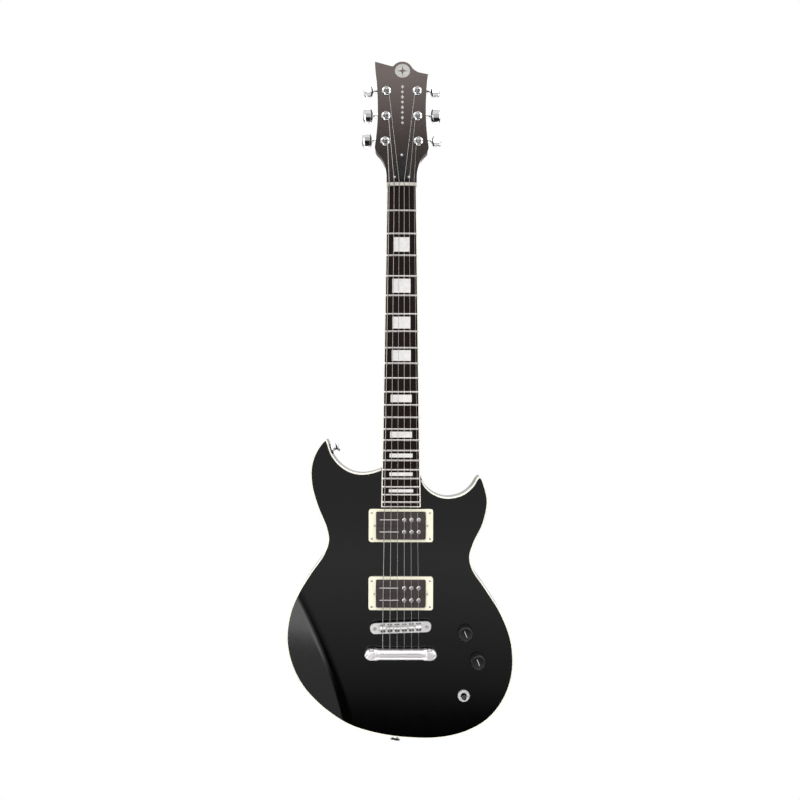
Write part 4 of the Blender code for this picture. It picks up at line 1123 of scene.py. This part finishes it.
def makeControls():
    knob = turnedPiece("knobPattern", [
        (0, -16), (3.0, -16), (3.0, 4.6), (8.8, 4.6), (8.8, 1.0), (11.2, 1.0), (11.4, 1.25), (11.35, 3.0),
        (11.1, 8.0), (10.6, 12.8), (10.3, 14.0), (9.7, 14.7), (8.8, 14.9), (8.2, 14.5), (0, 14.5),
    ], 64)
    # a groove across each knob's top holds a pale strip that is a painted highlight, where a ridge would
    # catch the light
    line = blockPiece("line", (-0.5, -4.6, 14.2), (0.5, 5.0, 16))
    cutBy(knob, [line])
    mark = softened(blockPiece("knobHighlightPattern", (-0.45, -4.5, 14.1), (0.45, 4.9, 14.9)), 0.2, 2)
    pot = turnedPiece("potPattern", [
        (3.4, 3.2), (4.7, 3.2), (4.7, 2.3), (7.2, 2.3), (7.2, 0.3), (4.7, 0.3), (4.7, -5.8), (12, -5.8),
        (12, -17), (3.4, -17), (3.4, 3.2),
    ], 32)
    for name, (x, y) in layout["knobs"].items():
        body, at, turn = f"{name}_knob", (x, y, 0), (0, 0, controlSizes["knobTurn"])
        cap, line = again(knob, f"{name}_knob_cap"), again(mark, f"{name}_knob_painted_highlight")
        settled(cap, frontBoard, "blackPlastic", at, turn, body, [body])
        # the pale strip on the knob top: a painted highlight in the bone finish
        settled(line, frontBoard, "bone", at, turn, body)
        can = again(pot, f"{name}_pot_can")
        settled(can, frontBoard, "steel", at, stands=[f"{name}_pot"])
    for pattern in (knob, mark, pot):
        bpy.data.objects.remove(pattern)
    refined("selector_switch", "satin", 0.35, segments=3)
    lever = turnedPiece("lever_tip", [
        (0, -8), (1.4, -8), (1.4, -2.2), (2.4, -1.0), (2.6, 0), (2.4, 1.0), (1.6, 2.2), (1.6, 11.4),
        (2.0, 11.5), (2.3, 12.0), (2.7, 15.0), (3.05, 18.5), (3.1, 20.5), (2.9, 22.0), (2.2, 23.2),
        (1.2, 23.7), (0, 23.8),
    ], 32)
    body, at = "selector_lever", (*layout["selector"], -6.0)
    settled(lever, frontBoard, "blackPlastic", at, body=body, stands=[body])
    refined("control_cover", "blackPlastic", 0.4)
    button = turnedPiece("strapPattern", [
        (0, -18), (1.7, -18), (1.7, 0.9), (5.0, 0.9), (5.2, 1.1), (4.6, 2.0), (3.7, 3.4), (3.4, 4.6),
        (3.4, 6.4), (3.8, 7.8), (5.2, 8.8), (6.8, 9.5), (7.25, 10.1), (7.3, 10.7), (7.0, 11.4), (6.5, 11.75),
        (2.6, 11.8), (2.3, 11.2), (0, 11.0),
    ], 40)
    crossCut(button, 2, 0.35, 10.2, 13)
    for name, (place, way) in controlSizes["straps"].items():
        head = again(button, f"{name}_strap_button")
        stands = [f"strap_button_{name}"]
        settled(head, frontBoard, "chrome", place, (0, 90, way), stands=stands)
        washer = turnedPiece(f"{name}_felt_washer", [
            (1.9, 0.1), (7.2, 0.1), (7.5, 0.4), (7.5, 1.0), (7.0, 1.4), (5.4, 1.2), (1.9, 0.8), (1.9, 0.1),
        ], 32)
        settled(washer, frontBoard, "dark", place, (0, 90, way))
    bpy.data.objects.remove(button)
    plate = turnedPiece("jack_dish", [
        (5.1, -1.5), (15.4, -1.5), (15.4, -0.4), (15.1, -0.1), (14.6, 0), (8.5, 0), (8.0, -0.2),
        (5.1, -0.2), (5.1, -1.5),
    ], 56)
    settled(plate, frontBoard, "chrome", layout["jack"], (0, 90, 0), stands=["jack_plate"])
    refined("output_jack", "steel", 0.15)


makeControls()
refined("truss_rod", "steel", 0.2)
print("controls done")


bpy.context.scene.view_settings.view_transform = "Standard"
studio = {
    "floorHeight": -1.95,
    "cameraPlace": (-0.0017, -1.5285, -0.337),
    "lens": 47.38,
    "roll": -0.13,
    # brightness of the room from straight down (0) through the horizon (0.5) to straight up (1)
    "room": [
        (0.0, 0.2), (0.2, 0.03), (0.351, 0.0), (0.36, 0.06), (0.369, 0.25), (0.389, 0.4),
        (0.4115, 0.58), (0.426, 0.67), (0.445, 0.53), (0.5, 0.5), (0.54, 0.85), (0.75, 0.85),
        (0.79, 0.26), (0.822, 0.34), (0.833, 1.7), (0.844, 3.8), (0.88, 3.6), (0.94, 2.4), (1.0, 1.6),
    ],
    # name, place, aim, size and power; the edge and the fringe soften the left softbox's inner side
    "lamps": [
        ("leftSoftbox", (-1.0, -1.45, -0.65), (-0.1, 0, -0.65), (0.6, 1.39), 7.5),
        ("leftEdge", (-0.711, -1.63, -0.65), (0.189, -0.18, -0.65), (0.08, 1.39), 0.3),
        ("leftFringe", (-0.643, -1.672, -0.65), (0.257, -0.222, -0.65), (0.08, 1.39), 0.1),
        ("leftLow", (-1.0, -1.45, -1.43), (-0.1, 0, -1.43), (0.6, 0.17), 0.2),
        ("rightFill", (1.9, -1.0, 0.1), (0, 0, -0.4), (0.8, 1.4), 7.5),
        ("rearFill", (0.4, 2.2, 0.9), (0, 0, -0.4), (2.0, 1.6), 12),
    ],
}


def makeStudio():
    freshStart()
    bpy.ops.mesh.primitive_plane_add(size=4.2, location=(0, 0.5, studio["floorHeight"]))
    floor = bpy.context.object
    floor.name = "floor"
    paint = plastic("floor_paint", (0.82, 0.82, 0.82), (0.8, 0.8, 0.8), 0.55, 0.65)
    floor.data.materials.append(paint)

    lean = (math.pi / 2, math.radians(studio["roll"]), 0)
    bpy.ops.object.camera_add(location=studio["cameraPlace"], rotation=lean)
    camera = bpy.context.object
    camera.data.lens = studio["lens"]
    camera.data.sensor_width = 36
    bpy.context.scene.camera = camera

    world = bpy.data.worlds.new("studio_world")
    bpy.context.scene.world = world
    world.use_nodes = True
    tree = world.node_tree
    back = tree.nodes["Background"]
    place = Wire(tree, tree.nodes.new("ShaderNodeTexCoord").outputs["Generated"])
    height = place.node("SeparateXYZ", {0: place}, 2)
    stops = [(share, (value / 4,) * 3) for share, value in studio["room"]]
    share = height * 0.5 + 0.5
    room = share.node("ValToRGB", {0: share}, stops=stops)
    seen = place.node("LightPath")
    shown = seen.blend(room, (0.25, 0.25, 0.25, 1))
    tree.links.new(shown.socket, back.inputs["Color"])
    back.inputs["Strength"].default_value = 4

    for name, where, aim, size, power in studio["lamps"]:
        bpy.ops.object.light_add(type="AREA", location=where)
        lamp = bpy.context.object
        lamp.name = name
        lamp.data.shape = "RECTANGLE"
        lamp.data.size, lamp.data.size_y = size
        lamp.data.energy = power
        lamp.rotation_euler = (Vector(aim) - Vector(where)).to_track_quat("-Z", "Y").to_euler()


makeStudio()
print("studio done")
